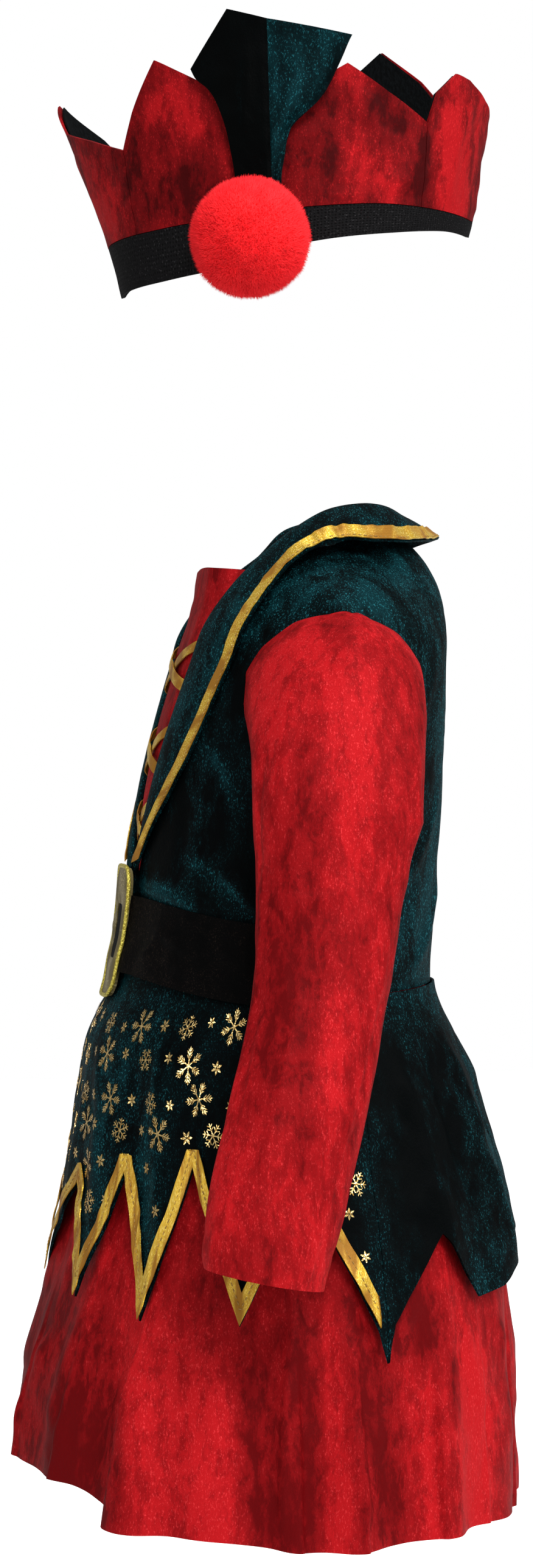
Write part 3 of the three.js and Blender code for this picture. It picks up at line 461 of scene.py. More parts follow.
height = maths(crush_group, "ADD", patch_noise, maths(crush_group, "MULTIPLY", pile_noise, 0.2))
links.new(spread(crush_group, patch_noise, 0.3, 0.62), result.inputs["Crush"])
links.new(spread(crush_group, lean_noise, 0.3, 0.7), result.inputs["Lean"])
links.new(spread(crush_group, pile_noise, 0.55, 0.72), result.inputs["Fleck"])
links.new(height, result.inputs["Height"])

# %% Velvet colours


def bump(tree, shader, height, strength, distance):
    made = node(tree, "ShaderNodeBump", Strength=strength, Distance=distance)
    tree.links.new(height, made.inputs["Height"])
    tree.links.new(made.outputs[0], shader.inputs["Normal"])


def velvet(name, deep, mid, bright, gleam, patch=110, stretch=0.55, fleck_share=0.4, rim=0.8, specular=0.03):
    """Crushed velvet: from deep to bright by a tone that is partly the pile's random lean and crush
    and partly painted light and shade, with gleam on single fibres. Rim is the share of the tone
    kept where the pile faces the camera: a painted sheen, which leaves the edges brighter."""
    made, tree, shader = material(name)
    place = node(tree, "ShaderNodeTexCoord").outputs["Object"]
    crush = use(tree, crush_group, place, Patch=patch, Stretch=stretch, Pile=1500.0)
    # The attribute lean holds painted light and shade, given at each vertex of the piece.
    painted_light = node(tree, "ShaderNodeAttribute", attribute_name="lean").outputs["Fac"]
    painted_light_share = maths(tree, "MULTIPLY", painted_light, 0.4)
    # lean here is the pile's random lean plus the painted light and shade.
    lean = maths(tree, "ADD", maths(tree, "MULTIPLY", crush.outputs["Lean"], 0.5), painted_light_share)
    tone = maths(tree, "ADD", lean, maths(tree, "MULTIPLY", crush.outputs["Crush"], 0.5))
    # Painted sheen: the tone is cut down to the rim share where the pile faces the camera.
    painted_sheen_facing = node(tree, "ShaderNodeLayerWeight", Blend=0.5).outputs["Facing"]
    tone = maths(tree, "MULTIPLY", tone, spread(tree, painted_sheen_facing, 0.02, 0.45, rim, 1.0))
    base = blend(tree, spread(tree, tone, 0.05, 0.5), deep, mid)
    base = blend(tree, spread(tree, tone, 0.45, 1.0), base, bright)
    # Painted glints: the fibre flecks' colour is blended towards the gleam colour, the more where the tone,
    # painted light included, is bright; the flecks are also metallic, so part of their gleam is real
    # reflection.
    glint = maths(tree, "MULTIPLY", crush.outputs["Fleck"], fleck_share)
    glint = maths(tree, "MULTIPLY", glint, spread(tree, tone, 0.1, 0.9))
    tree.links.new(blend(tree, glint, base, gleam), shader.inputs["Base Color"])
    tree.links.new(maths(tree, "MULTIPLY", glint, 0.5), shader.inputs["Metallic"])
    shader.inputs["Roughness"].default_value = 0.55
    shader.inputs["Specular IOR Level"].default_value = specular
    bump(tree, shader, crush.outputs["Height"], 0.5, 0.0012)
    return made


def paint_light_and_shade(piece, rows):
    """Paints light (over 0) and shade (under 0) onto a piece's velvet, as a value at each vertex,
    in strokes of y, z, width, strength and bow, in millimetres. Both sides of the wearer are
    painted alike."""
    at = np.array([vertex.co[:] for vertex in piece.data.vertices]) / MM
    lean = np.clip(strokes(rows, at[:, 1], at[:, 2]), -1, 1)
    piece.data.attributes.new("lean", "FLOAT", "POINT").data.foreach_set("value", lean)
    return piece


green_velvet = velvet("green velvet", (0.0002, 0.0006, 0.0007), (0.0005, 0.0026, 0.003),
                      (0.0014, 0.014, 0.017), (0.02, 0.17, 0.20), fleck_share=0.75, rim=0.3, specular=0.02)
red_velvet = velvet("red velvet", (0.085, 0.001, 0.0017), (0.18, 0.0025, 0.0038),
                    (0.33, 0.0055, 0.0078), (0.85, 0.06, 0.065), patch=190, stretch=0.45,
                    fleck_share=0.4, rim=0.85)
crown_velvet = velvet("crown velvet", (0.032, 0.0006, 0.001), (0.10, 0.0015, 0.0024),
                      (0.26, 0.004, 0.006), (0.7, 0.026, 0.028), patch=130, fleck_share=0.45, rim=0.85)
# Lit and shaded copies of the petal's green velvet: painted light on the right half, painted shade on the
# left.
petal_lit = velvet("petal velvet, pile up", (0.0003, 0.002, 0.0024), (0.0007, 0.005, 0.006),
                   (0.0014, 0.014, 0.017), (0.02, 0.16, 0.19), fleck_share=0.55, rim=1.0, specular=0.02)
petal_shade = velvet("petal velvet, pile down", (0.0002, 0.0004, 0.0004), (0.0004, 0.0009, 0.001),
                     (0.0006, 0.003, 0.0034), (0.008, 0.05, 0.06), fleck_share=0.25, rim=0.2, specular=0.02)
black_velvet = velvet("black velvet", (0.0006, 0.0006, 0.0006), (0.001, 0.0009, 0.0009),
                      (0.002, 0.0017, 0.0016), (0.07, 0.045, 0.032), patch=140, stretch=0.9,
                      fleck_share=0.3, rim=0.7, specular=0.02)
print("velvets:", [m.name for m in (green_velvet, red_velvet, black_velvet)])

# %% [markdown]
# Satin ribbon is woven with floating threads, so it shines and shows fine cross ribs. The ribs
# are a bump. The shine is a painted sheen in patches along the ribbon, with painted glints, and
# the ribbon is also more metallic and smoother there. Its pattern follows the ribbon, so it
# reads the piece's own UV map: metres along, metres across.

# %% Satin and padded gold
ribbon_group, given, result = new_group(
    "ribbon weave", [("Vector", "Vector"), ("Ribs", "Float"), ("Speckle", "Float")],
    [("Rib", "Float"), ("Spark", "Float"), ("Height", "Float")])
links = ribbon_group.links
ribs = node(ribbon_group, "ShaderNodeTexWave", bands_direction="X", Distortion=0.4)
links.new(given.outputs["Vector"], ribs.inputs["Vector"])
links.new(given.outputs["Ribs"], ribs.inputs["Scale"])
# Spark is the mask of the ribbon's painted glints, and also part of its bump.
spark_noise = noise(ribbon_group, given.outputs["Vector"], 1.0, 2.0, 0.7)
links.new(given.outputs["Speckle"], spark_noise.node.inputs["Scale"])
spark = spread(ribbon_group, spark_noise, 0.5, 0.68)
links.new(ribs.outputs["Fac"], result.inputs["Rib"])
links.new(spark, result.inputs["Spark"])
links.new(maths(ribbon_group, "ADD", maths(ribbon_group, "MULTIPLY", ribs.outputs["Fac"], 0.4),
                spark_noise), result.inputs["Height"])


def satin(name, matte, bright, painted_glint_colour, metal, rough):
    made, tree, shader = material(name)
    along = node(tree, "ShaderNodeUVMap", uv_map="cloth").outputs[0]
    weave = use(tree, ribbon_group, along, Ribs=260.0, Speckle=1400.0)
    # Painted sheen: patches along the ribbon where its colour is lighter, as if catching the light; there it
    # is also more metallic and smoother.
    painted_sheen = spread(tree, noise(tree, along, 55.0, 2.0), 0.42, 0.6)
    base = blend(tree, painted_sheen, matte, bright)
    # Painted glints: sparks of a light colour inside the painted sheen.
    glint = maths(tree, "MULTIPLY", weave.outputs["Spark"], painted_sheen)
    tree.links.new(blend(tree, glint, base, painted_glint_colour), shader.inputs["Base Color"])
    tree.links.new(spread(tree, painted_sheen, 0, 1, metal * 0.45, metal), shader.inputs["Metallic"])
    tree.links.new(spread(tree, painted_sheen, 0, 1, rough + 0.12, rough), shader.inputs["Roughness"])
    shader.inputs["Specular IOR Level"].default_value = 0.2
    bump(tree, shader, weave.outputs["Height"], 0.35, 0.0004)
    return made


gold_ribbon = satin("gold satin", (0.24, 0.105, 0.008), (0.56, 0.34, 0.028), (0.95, 0.76, 0.22), 0.7, 0.36)
pale_gold = satin("pale gold lame", (0.10, 0.078, 0.028), (0.17, 0.135, 0.06), (0.5, 0.43, 0.23), 0.4, 0.45)

# %% [markdown]
# Each cloth piece stands for one solid of the imported model. Dressing it is always the same
# few calls: it rides on the one rigid body, hides the solid, takes its finish as a material,
# and states the size of the flat cloth that it was cut from, which is its surface laid out.

# %% Dressing a piece
FLAT = {}


def lay_flat(name, place, us, vs, zigzag=False):
    """Width, length and area of a piece's surface without its folds, in metres. A piece
    that is cut in points has rows that rise and fall, so its width is measured level."""
    grid = place(*np.meshgrid(us, vs)) * MM
    right, up = np.diff(grid, axis=1), np.diff(grid, axis=0)
    area = np.linalg.norm(np.cross(right[:-1], up[:, :-1]), axis=-1).sum()
    width = np.linalg.norm(right[..., :2] if zigzag else right, axis=-1).sum(axis=1).max()
    length = np.linalg.norm(up, axis=-1).sum(axis=0).max()
    FLAT[name] = (width, max(length, area / width), area)


def wear(piece, solid, finish):
    piece.data.materials.append(finish)
    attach(piece, "root")
    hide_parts(solid)
    return piece


def sew(name, solid, place, us, vs, wall, slot, finish, held, rests_on, relief=None, period=0, trims=(),
        zigzag=False):
    """Cuts and dresses one cloth piece. A period closes it into a tube."""
    lay_flat(name, place, np.append(us, us[0] + period) if period else us, vs, zigzag)
    piece = wear(cut(name, place, us, vs, wall, relief, period > 0), solid, finish)
    return piece


def trim(name, solid, place, us, vs, relief):
    """A narrow gold ribbon, sewn flat to a wider piece."""
    lay_flat(name, place, us, vs)
    return wear(cut(name, place, us, vs, 0.5, relief), solid, gold_ribbon)


GREEN = ("green_velvet", green_velvet)
RED = ("red_velvet", red_velvet)

# %% [markdown]
# The bodice has two fronts, which meet only at the belt, and a whole back. It is close
# fitting, so its folds are few: one drawn along the top of the belt, one from the side seam
# towards the belt, and short ones where the sleeve pulls. The hidden side has like ones.

# %% Bodice
BODICE_FOLDS = [
    (20, -153, 84, -165, 4.5, 2.2, -3), (82, -141, 118, -168, 3.6, 2.8, -2),
    (95, -90, 113, -126, 3.0, 1.9, 2), (52, -110, 60, -150, 6.0, -0.8, 1),
    (36, -168, 96, -177, 4.0, -0.9, 1), (104, -128, 132, -150, 4.0, 1.0, 2),
]
BACK_FOLDS = [
    (34, -150, 66, -186, 5.0, 1.6, 3), (-30, -146, -70, -186, 5.0, 1.6, -3),
    (50, -112, 84, -150, 4.0, 1.2, 2), (-46, -108, -88, -150, 4.0, 1.2, -2),
    (6, -160, 20, -192, 5.0, 1.3, 1), (-16, -120, -6, -170, 7.0, -1.0, 1),
    (60, -60, 96, -86, 5.0, 0.9, 2), (-64, -56, -98, -88, 5.0, 0.9, -2),
]
# Painted light and shade on the bodice: painted highlights along its folds and a broad painted shade between
# the lapel and the sleeve.
BODICE_PAINTED_LIGHT = [
    (-57, -139, -36, -168, 3.4, 2.0, -2), (-80, -151, -55, -163, 3.2, 1.9, -2),
    (-47, -92, -35, -124, 2.6, 1.7, 1), (-60, -55, -66, -160, 24, -1.2, 0),
    (-44, -50, -30, -78, 12, -0.9, 0), (20, -20, 10, -50, 14, 0.8, 0),
    (60, -60, 62, -180, 9, 0.6, 0),
]
ANGLE_MM = 1.6
BACK_NECK_LEVEL = 1.39
BACK_NECK_WIDTH = 0.378


def bodice_relief(folds, angle_at):
    def relief(u, level):
        angle = angle_at(u, level)
        z = bodice_point(angle, level, BODICE_OUT)[..., 2]
        s = angle * ANGLE_MM
        edge = ease(level, 0, 0.12) * ease(2 - level, 0, 0.25)
        crush = 0.45 * swell(s + 40, z, 17, 3) + 0.2 * swell(s, z, 7, 4)
        return (strokes(folds, s, z) + crush) * edge
    return relief


def front_angle(u, level):
    return mix(v_edge(level), arm_front(level) - np.where(level < 0.7, SEAM_ANGLE, 0), u)


def back_turn(u, level):
    return u * (arm_back(level) - np.where(level < 0.7, SEAM_ANGLE, 0))


def bodice_front(u, level):
    return bodice_point(front_angle(u, level), level, BODICE_OUT)


def back_reach(u):
    """The share of the full height that the back has: less under the back neck."""
    return mix(BACK_NECK_LEVEL, 2, np.clip(np.abs(u) / BACK_NECK_WIDTH, 0, 1) ** 2) / 2


def bodice_back(u, level):
    return bodice_point(180 + back_turn(u, level), level * back_reach(u), BODICE_OUT)


front_relief = bodice_relief(BODICE_FOLDS, front_angle)
levels = np.sort(np.concatenate([between(0, 1.9998, 92), EDGES["level"][1:-1]]))
for side, place, relief, us in (
        ("left", bodice_front, front_relief, between(0, 1, 46)),
        ("right", mirrored(bodice_front), lambda u, v: front_relief(-u, v), between(-1, 0, 46))):
    paint_light_and_shade(sew(f"bodice_front_{side}_cloth", f"bodice_front_{side}", place, us, levels, 1.1, *GREEN,
             "hung", ["bodice_back_cloth", f"collar_{side}_cloth"], relief), BODICE_PAINTED_LIGHT)
paint_light_and_shade(sew("bodice_back_cloth", "bodice_back", bodice_back, between(-1, 1, 121), levels, 1.1, *GREEN,
         "hung", ["bodice_front_left_cloth", "bodice_front_right_cloth"],
         lambda u, v: bodice_relief(BACK_FOLDS, back_turn)(u, v * back_reach(u))), BODICE_PAINTED_LIGHT)
print("bodice flats:", {k: tuple(round(x, 3) for x in v) for k, v in FLAT.items()})

# %% [markdown]
# The red insert fills the V from behind. Its crossed laces are flat ribbons sewn down at
# both ends, and the falling one of each pair passes over the rising one in the middle.

# %% Insert and laces
above_belt = [(v, level) for v, level in zip(EDGES["v"], EDGES["level"]) if level >= 0.24]
v_points = [bodice_point(v, level, 0) for v, level in above_belt]
v_half = smooth({"z": np.array([p[2] for p in v_points]), "x": np.array([p[0] for p in v_points])}, "x")
INSERT_HIDDEN = 2.6
LACE_SHORT = 2.6
LACE_WIDTH = 5
LACE_LIFT = 1.1


def insert_form(angle, z, out):
    """The body under the insert: fuller at the chest, and tucked back at the sides of the V."""
    edge = np.arcsin(v_half(z) / body_half(z)) / RAD
    share = ease(np.abs(angle), edge * 0.4, edge)
    chest = 3.2 * np.exp(-(((z + 78) / 54) ** 4)) * (1 - ease(np.abs(angle), edge * 0.55, edge))
    point = body_point(angle, z, out + chest - 1.6 * share)
    drop = np.clip((NECK_Z - z) / SHOULDER_ROUND, 0, 1)
    rounding = np.sqrt(1 - (1 - drop) ** 2)
    point[..., 1] = RIDGE_Y + (point[..., 1] - RIDGE_Y) * mix(1, rounding, share)
    return point


def insert_place(u, v):
    z = mix(WAIST_Z, -10 - 6 * u * u, v)
    edge = np.arcsin(v_half(z) / body_half(z)) / RAD
    return insert_form(u * (edge + INSERT_HIDDEN), z, 0)


def insert_relief(u, v):
    middle = 1 - np.abs(u) ** 3
    return middle * (0.5 * swell(u * 30 + 60, v * 180, 15, 8) + 0.3 * swell(u * 30, v * 180, 6, 9) - 0.4)


laces = []
for name, top, bottom in (("upper", -44, -66), ("middle", -82, -103), ("lower", -116, -133)):
    for side, word in ((1, "rising"), (-1, "falling")):
        def lace_place(u, v, top=top, bottom=bottom, side=side):
            z = mix(bottom, top, (side * u + 1) / 2) + v * LACE_WIDTH
            angle = np.arcsin(u * (v_half(z) - LACE_SHORT) / body_half(z)) / RAD
            crossing = np.exp(-((u / 0.55) ** 4))
            lift = LACE_LIFT if side > 0 else mix(LACE_LIFT, 2 * LACE_LIFT, crossing)
            return insert_form(angle, z, lift)
        laces.append(trim(f"lace_{name}_{word}_ribbon", f"lace_{name}_{word}", lace_place, between(-1, 1, 60),
                          between(-0.5, 0.5, 7), lambda u, v: 0.25 * swell(u * 20, v * 6, 4, 11)))

sew("insert_cloth", "front_insert", insert_place, between(-1, 1, 44), between(0, 1, 96), 1.0, *RED,
    "stretched", ["bodice_front_left_cloth", "bodice_front_right_cloth"], insert_relief, trims=laces)
print("laces:", len(laces))

# %% [markdown]
# The shawl collar is one long strip folded over along its length. Four lines guide it: the
# seam at its base, the fold, the middle of the fall and the outer edge. Smooth curves run
# along the four, and a second curve across them gives the roll. The satin ribbon lies on
# the outer edge. It was sewn on a curve, so it puckers most over the shoulder.

# %% Collar

# On the body: across and height of the fold, the same of the outer edge, and how far the
# seam stands out. Round the neck: the fold, the outer edge and the seam as points.
LAPEL = [(4.5, -152, 9, -149, 4), (10, -135, 25, -129, 3), (16, -110, 40, -110, 2.4),
         (20, -92, 50, -93, 2.4), (24.5, -72, 58, -72, 2.4), (29.5, -54, 64, -54, 2.4),
         (34.5, -38, 67, -40, 2.4)]
NECK = [((40, -35.5, -21), (69, -24, -24), (37, -33.5, -22)),
        ((45, -22.5, -7), (69, -13, -11), (41, -22.5, -12)),
        ((49, -8, 5), (68, -1, -4), (44, -8, -3)), ((50, 6, 13), (67, 10, -1), (45, 6, 1)),
        ((46, 22, 16.5), (62, 27, -1), (41, 21, 4)), ((35, 35, 16.5), (47, 45, 0), (31, 33, 6)),
        ((18, 44, 14), (25, 60, 2.5), (16, 41, 6)), ((0.3, 47, 12), (0.3, 69, 6), (0.3, 44, 5))]
LAPEL_OUT = BODICE_OUT + SEAM + VELVET
COLLAR_LENGTH = 330
COLLAR_RIBBON = 6
COLLAR_LEAN = np.array([0, 6.0, -2.0])


def on_body(x, z, out):
    return body_point(np.arcsin(x / body_half(z)) / RAD, z, out)


def collar_stations():
    stations = []
    for fold_x, fold_z, outer_x, outer_z, base_out in LAPEL:
        middle = on_body((fold_x + outer_x) / 2, (fold_z + outer_z) / 2, LAPEL_OUT + 1.6)
        stations.append([on_body(fold_x - 1.6, fold_z, base_out), on_body(fold_x, fold_z, LAPEL_OUT + 0.4),
                         middle, on_body(outer_x, outer_z, LAPEL_OUT + 0.2)])
    for fold, outer, base in NECK:
        middle = (np.array(fold) + outer) / 2 + (0, 0, 2.5)
        stations.append([base, fold, middle, outer])
    return np.array(stations, float)


def catmull(control, t):
    """A centripetal curve through the control points, which run along the last axis but one."""
    place = np.clip(t, 0, 1) * (control.shape[-2] - 1)
    i = np.clip(np.floor(place).astype(int), 0, control.shape[-2] - 2)
    w = (place - i)[..., None]
    first = 2 * control[..., :1, :] - control[..., 1:2, :]
    last = 2 * control[..., -1:, :] - control[..., -2:-1, :]
    full = np.concatenate([first, control, last], axis=-2)
    a, b, c, d = (np.take_along_axis(full, (i + k)[..., None, None], -2)[..., 0, :] for k in range(4))
    gap = lambda p, q: np.sqrt(np.maximum(np.linalg.norm(p - q, axis=-1, keepdims=True), 1e-8))
    ab, bc, cd = gap(a, b), gap(b, c), gap(c, d)
    out = ((b - a) / ab - (c - a) / (ab + bc) + (c - b) / bc) * bc
    into = ((c - b) / bc - (d - b) / (bc + cd) + (d - c) / cd) * bc
    return b + w * out + w ** 2 * (3 * (c - b) - 2 * out - into) + w ** 3 * (2 * (b - c) + out + into)


STATIONS = collar_stations()


def collar_place(u, v):
    u, v = np.broadcast_arrays(u, v)
    lanes = [catmull(np.broadcast_to(STATIONS[:, k], v.shape + STATIONS[:, k].shape), v) for k in range(4)]
    return catmull(np.stack(lanes, axis=-2), u)


def collar_relief(u, v):
    roll = ease(u, 0.33, 0.6)
    shoulder = ease(v, 0.5, 0.7)
    s = v * COLLAR_LENGTH
    wave = 0.9 * swell(s, 7, 26, 21) + 0.35 * swell(s, u * 40, 9, 22)
    return roll * ease(v, 0.02, 0.12) * (0.35 + 0.65 * shoulder) * wave


def ribbon_place(u, v):
    """The ribbon on the collar's outer edge, lifted off the fold that it is sewn to."""
    fall = np.linalg.norm(collar_place(1 / 3, v) - collar_place(1.0, v), axis=-1)
    share = np.minimum(0.92, COLLAR_RIBBON / fall) * 2 / 3
    at = 0.998 - (1 - u) * share
    lift = SEAM + 0.9 + collar_relief(at, v)
    return collar_place(at, v) + normals_of(collar_place, at, v) * lift[..., None]


def leant(place, grown=0.33):
    """The right half of the collar, which leans back a little more beside the neck."""
    def moved(u, v):
        share = (ease(np.abs(u), 0, grown) if grown else 1) * np.exp(-(((v - 0.6) / 0.08) ** 2))
        return mirrored(place)(u, v) + share[..., None] * COLLAR_LEAN
    return moved


def ribbon_pucker(u, v):
    shoulder = ease(v, 0.42, 0.55)
    return (0.15 + 0.5 * shoulder) * swell(v * COLLAR_LENGTH, u * 3, 4.5, 23)


for side, sign in (("left", 1), ("right", -1)):
    us = between(0, 1, 8) if sign > 0 else between(-1, 0, 8)
    edge = ribbon_place if sign > 0 else leant(ribbon_place, 0)
    satin_edge = trim(f"collar_ribbon_{side}_satin", f"collar_ribbon_{side}", edge, us,
                      between(0.03, 0.985, 300), lambda u, v, sign=sign: ribbon_pucker(sign * u, v))
    us = between(0, 1, 30) if sign > 0 else between(-1, 0, 30)
    collar = sew(f"collar_{side}_cloth", f"collar_{side}", collar_place if sign > 0 else leant(collar_place),
                 us, between(0, 1, 190), 1.2, *GREEN, "folded",
                 [f"bodice_front_{side}_cloth", "bodice_back_cloth"],
                 lambda u, v, sign=sign: collar_relief(sign * u, v), trims=[satin_edge])
    # A broad painted light over the collar's front.
    paint_light_and_shade(collar, [(-60, -160, -30, 10, 60, 0.3, 0)])
print("collar length, m:", round(FLAT["collar_left_cloth"][1], 3))

# %% [markdown]
# A set-in sleeve is a tube whose head fits the armhole. Round it, a share runs from the
# underarm over the front, the top and the back; along it, reach 0 is the cuff and 8 the
# underarm, and one more step carries the tube up and over to the armhole ring.

# %% Sleeves
ARM_LEVELS = table("share level", [
    [0, 0.7], [0.1, 0.735], [0.2, 0.775], [0.3, 0.84], [0.4, 0.93], [0.5, 1.05],
    [0.6, 1.2], [0.7, 1.37], [0.8, 1.57], [0.9, 1.78], [1, 1.985],
])
arm_level = smooth(ARM_LEVELS, "level")
SLEEVE = table("reach z x y halfX halfY tilt", [
    [0, -308, 154, -40, 18, 24.5, 5], [1, -277, 149, -33, 19.5, 27.5, 4],
    [2, -257, 145, -28, 20, 28, 3], [3, -236, 141, -22.5, 20, 28.2, 2],
    [4, -213, 135.5, -16.5, 20.5, 28.2, 1], [5, -189, 130, -11, 21, 28.8, 0],
    [6, -165, 125.5, -8, 21.5, 30.2, 0], [7, -142, 122, -5, 22.5, 33, 0],
    [8, -124, 119.8, -2, 23, 36.5, 0],
])
ARM = {name: smooth(SLEEVE, name) for name in SLEEVE if name != "reach"}
ARM_TOP = 8


def arm_section(share, reach):
    turn = share * 2 * math.pi
    x = ARM["x"](reach) - ARM["halfX"](reach) * np.cos(turn)
    y = ARM["y"](reach) - ARM["halfY"](reach) * np.sin(turn)
    return points(x, y, ARM["z"](reach) + ARM["tilt"](reach) * np.sin(turn))


def armhole_ring(share):
    """The ring that the sleeve head is sewn to, just outside the bodice's armhole."""
    front = share <= 0.5
    level = arm_level(np.where(front, share * 2, 2 - share * 2))
    angle = np.where(front, arm_front(level) - 1.2, 180 - arm_back(level) + 1.2)
    return bodice_point(angle, level, LAPEL_OUT)


def sleeve_place(u, reach):
    share, reach = np.broadcast_arrays(u % 1.0, reach)
    start, end = armhole_ring(share), arm_section(share, ARM_TOP)
    length = np.linalg.norm(start - end, axis=-1, keepdims=True)
    t = np.clip(ARM_TOP + 1 - reach, 0, 1)[..., None]
    out, down = np.array([1, 0, -0.15]) * length, np.array([0.1, 0, -1]) * length
    head = (start * (2 * t ** 3 - 3 * t ** 2 + 1) + out * (t ** 3 - 2 * t ** 2 + t)
            + end * (3 * t ** 2 - 2 * t ** 3) + down * (t ** 3 - t ** 2))
    return np.where(reach[..., None] <= ARM_TOP, arm_section(share, reach), head)


# Rows are across the sleeve from its outermost line, and the height, in millimetres.
SLEEVE_FOLDS = [
    (-30, -92, -33, -150, 4.5, -1.6, 2), (-24, -70, -25, -128, 4.0, 1.0, -2),
    (-12, -96, -17, -168, 6.0, 1.1, 3), (10, -150, 4, -262, 6.5, 1.2, 5),
    (-2, -118, 6, -150, 3.5, -0.8, 2), (22, -88, 30, -160, 5.0, 1.0, -3),
    (34, -104, 38, -150, 4.0, -1.1, 2), (-20, -176, -14, -286, 7.0, 1.2, -4),
    (24, -200, 16, -300, 6.0, -1.0, 4), (-32, -190, -28, -250, 5.0, -1.0, 2),
    (-42, -156, 2, -154, 1.6, 0.5, 1), (2, -230, 24, -246, 4.0, 0.7, 2),
    (64, -110, 74, -170, 5.0, 1.3, 2), (82, -150, 90, -230, 6.0, 1.1, -3),
    (-66, -120, -78, -180, 5.0, 1.2, 2), (70, -236, 78, -296, 5.0, 1.0, 2),
    (-60, -220, -70, -290, 6.0, 1.0, -2), (-8, -52, 20, -64, 6.0, 0.7, -2),
]
SLEEVE_PLEATS = [
    (-31, -92, -35, -152, 1.5, 6), (-20, -60, -22, -118, 0.8, -5), (14, -96, 10, -170, 0.8, 6),
    (26, -150, 18, -290, 1.3, -8), (-14, -170, -12, -292, 1.1, 7), (-30, -196, -26, -290, 1.0, 6),
    (4, -220, 0, -296, 0.8, -6), (66, -120, 74, -250, 1.4, 8), (-70, -130, -76, -260, 1.3, -8),
]
# Painted light and shade on the sleeves: painted shade in streaks along the folds and at the cuff, and
# painted light on the upper arm and down its middle.
SLEEVE_PAINTED_LIGHT = [
    (-43, -75, -46, -162, 5, -0.8, 0), (-40, -160, -46, -222, 6, -0.6, 0),
    (-28, -152, -36, -238, 11, -0.5, 0),
    (-36, -84, -34, -122, 3, -0.6, 0), (-22, -86, -20, -122, 3.5, -0.6, 0), (-12, -108, -8, -150, 3, -0.6, 0),
    (-20, -44, -16, -82, 16, 0.5, 0), (2, -60, -4, -162, 9, 0.7, 0), (-8, -184, -16, -242, 6, 0.7, 0),
    (-26, -226, -28, -274, 2.5, -0.6, 0), (-50, -242, -58, -292, 8, 0.5, 0),
    (-66, -268, -70, -302, 4, -0.7, 0),
    (-40, -288, -34, -306, 7, -0.6, 0), (10, -96, 12, -140, 3, -0.5, 0),
]
SLEEVE_ROUND = 165
ARMHOLE_Z = -44


def sleeve_relief(u, reach):
    share = u % 1.0
    s = (share - 0.5) * SLEEVE_ROUND
    z = np.interp(reach, [*SLEEVE["reach"], ARM_TOP + 1], [*SLEEVE["z"], ARMHOLE_Z])
    edge = ease(reach, 0, 0.15) * ease(9 - reach, 0, 0.35)
    wrap = ease(0.5 - np.abs(share - 0.5), 0, 0.06)
    crush = 0.55 * swell(s + 300, z * 0.6, 15, 31) + 0.28 * swell(s + 200, z * 0.7, 7, 32)
    hem = -0.5 * np.exp(-(((reach - 0.42) / 0.05) ** 2))
    folds = (strokes(SLEEVE_FOLDS, s, z) + pleats(SLEEVE_PLEATS, s, z)) * (0.35 + 0.65 * wrap)
    tuck = 1.6 * ease(reach, 8.8, 9)
    return (folds + crush * wrap) * edge + hem - tuck


reaches = np.concatenate([between(0, 8, 104)[:-1], between(8, 9, 30)])
for side, sign in (("left", 1), ("right", -1)):
    place = sleeve_place if sign > 0 else mirrored(sleeve_place)
    us = ring(120) if sign > 0 else -ring(120)[::-1]
    sleeve = sew(f"sleeve_{side}_cloth", f"sleeve_{side}", place, us, reaches, 1.1, *RED, "hung",
                 [f"bodice_front_{side}_cloth", "bodice_back_cloth"],
                 lambda u, v, sign=sign: sleeve_relief(sign * u, v), period=1)
    paint_light_and_shade(sleeve, SLEEVE_PAINTED_LIGHT)
print("sleeve flat, m:", tuple(round(x, 3) for x in FLAT["sleeve_left_cloth"]))

# %% [markdown]
# Both skirts hang from the waist seam and share their broad folds, because the upper one
# lies on the lower. A fold is a ridge at one angle that grows from nothing at the waist to
# its full height at the hem. No two have the same width. The underskirt's hem is higher in
# front, up to the deep fold where the cloth turns under itself.

# %% Skirt forms
OVERSKIRT = table("drop half front back fold", [
    [0, 91.5, 78.2, 63.5, 0], [4, 92, 79.3, 64.2, 0], [12, 94.5, 82, 67, 0.2],
    [22, 98, 88, 72, 0.6], [38, 103, 94, 79, 1.2], [68, 111, 98.5, 89, 2],
    [98, 119, 103, 98, 2.6], [123, 125, 108.8, 102.5, 3], [150, 130, 114.8, 104.5, 3.4],
])
UNDERSKIRT = table("drop half front back fold", [
    [0, 89.7, 76.4, 61.7, 0], [12, 91.5, 79.5, 63.5, 0.2], [22, 94, 84, 67.5, 0.6],
    [38, 98.5, 90, 74, 1.2], [68, 106.5, 94.3, 84, 2], [98, 114, 98.5, 92, 2.6],
    [123, 120, 104, 95, 3], [150, 125.5, 111.3, 97, 3.4], [190, 132, 122.3, 98, 5.5],
    [245, 139, 131.5, 98.5, 8],
])
SKIRT_MID = -12
FOLDS = table("angle width height", [
    [-158, 9, 0.9], [-134, 8, 0.8], [-110, 6, 1.1], [-90, 8, 0.8], [-66, 6, 1.1],
    [-42, 8, 0.9], [-16, 9, 0.7], [8, 8, 0.6], [25, 6, 0.7], [50, 5.5, 1.4],
    [66, 9, 0.8], [84, 4, 0.6], [98, 6, 1.2], [123, 6, 1.1], [147, 9, 1.0], [173, 8, 0.8],
])
FOLD_MEAN = 0.45


def fold_wave(angle):
    total = -FOLD_MEAN * np.ones(np.shape(angle))
    for centre, width, height in zip(*FOLDS.values()):
        gap = (angle - centre + 180) % 360 - 180
        total = total + height * np.exp(-((gap / width) ** 2))
    return total


OVER = {name: smooth(OVERSKIRT, name) for name in OVERSKIRT if name != "drop"}
UNDER = {name: smooth(UNDERSKIRT, name) for name in UNDERSKIRT if name != "drop"}


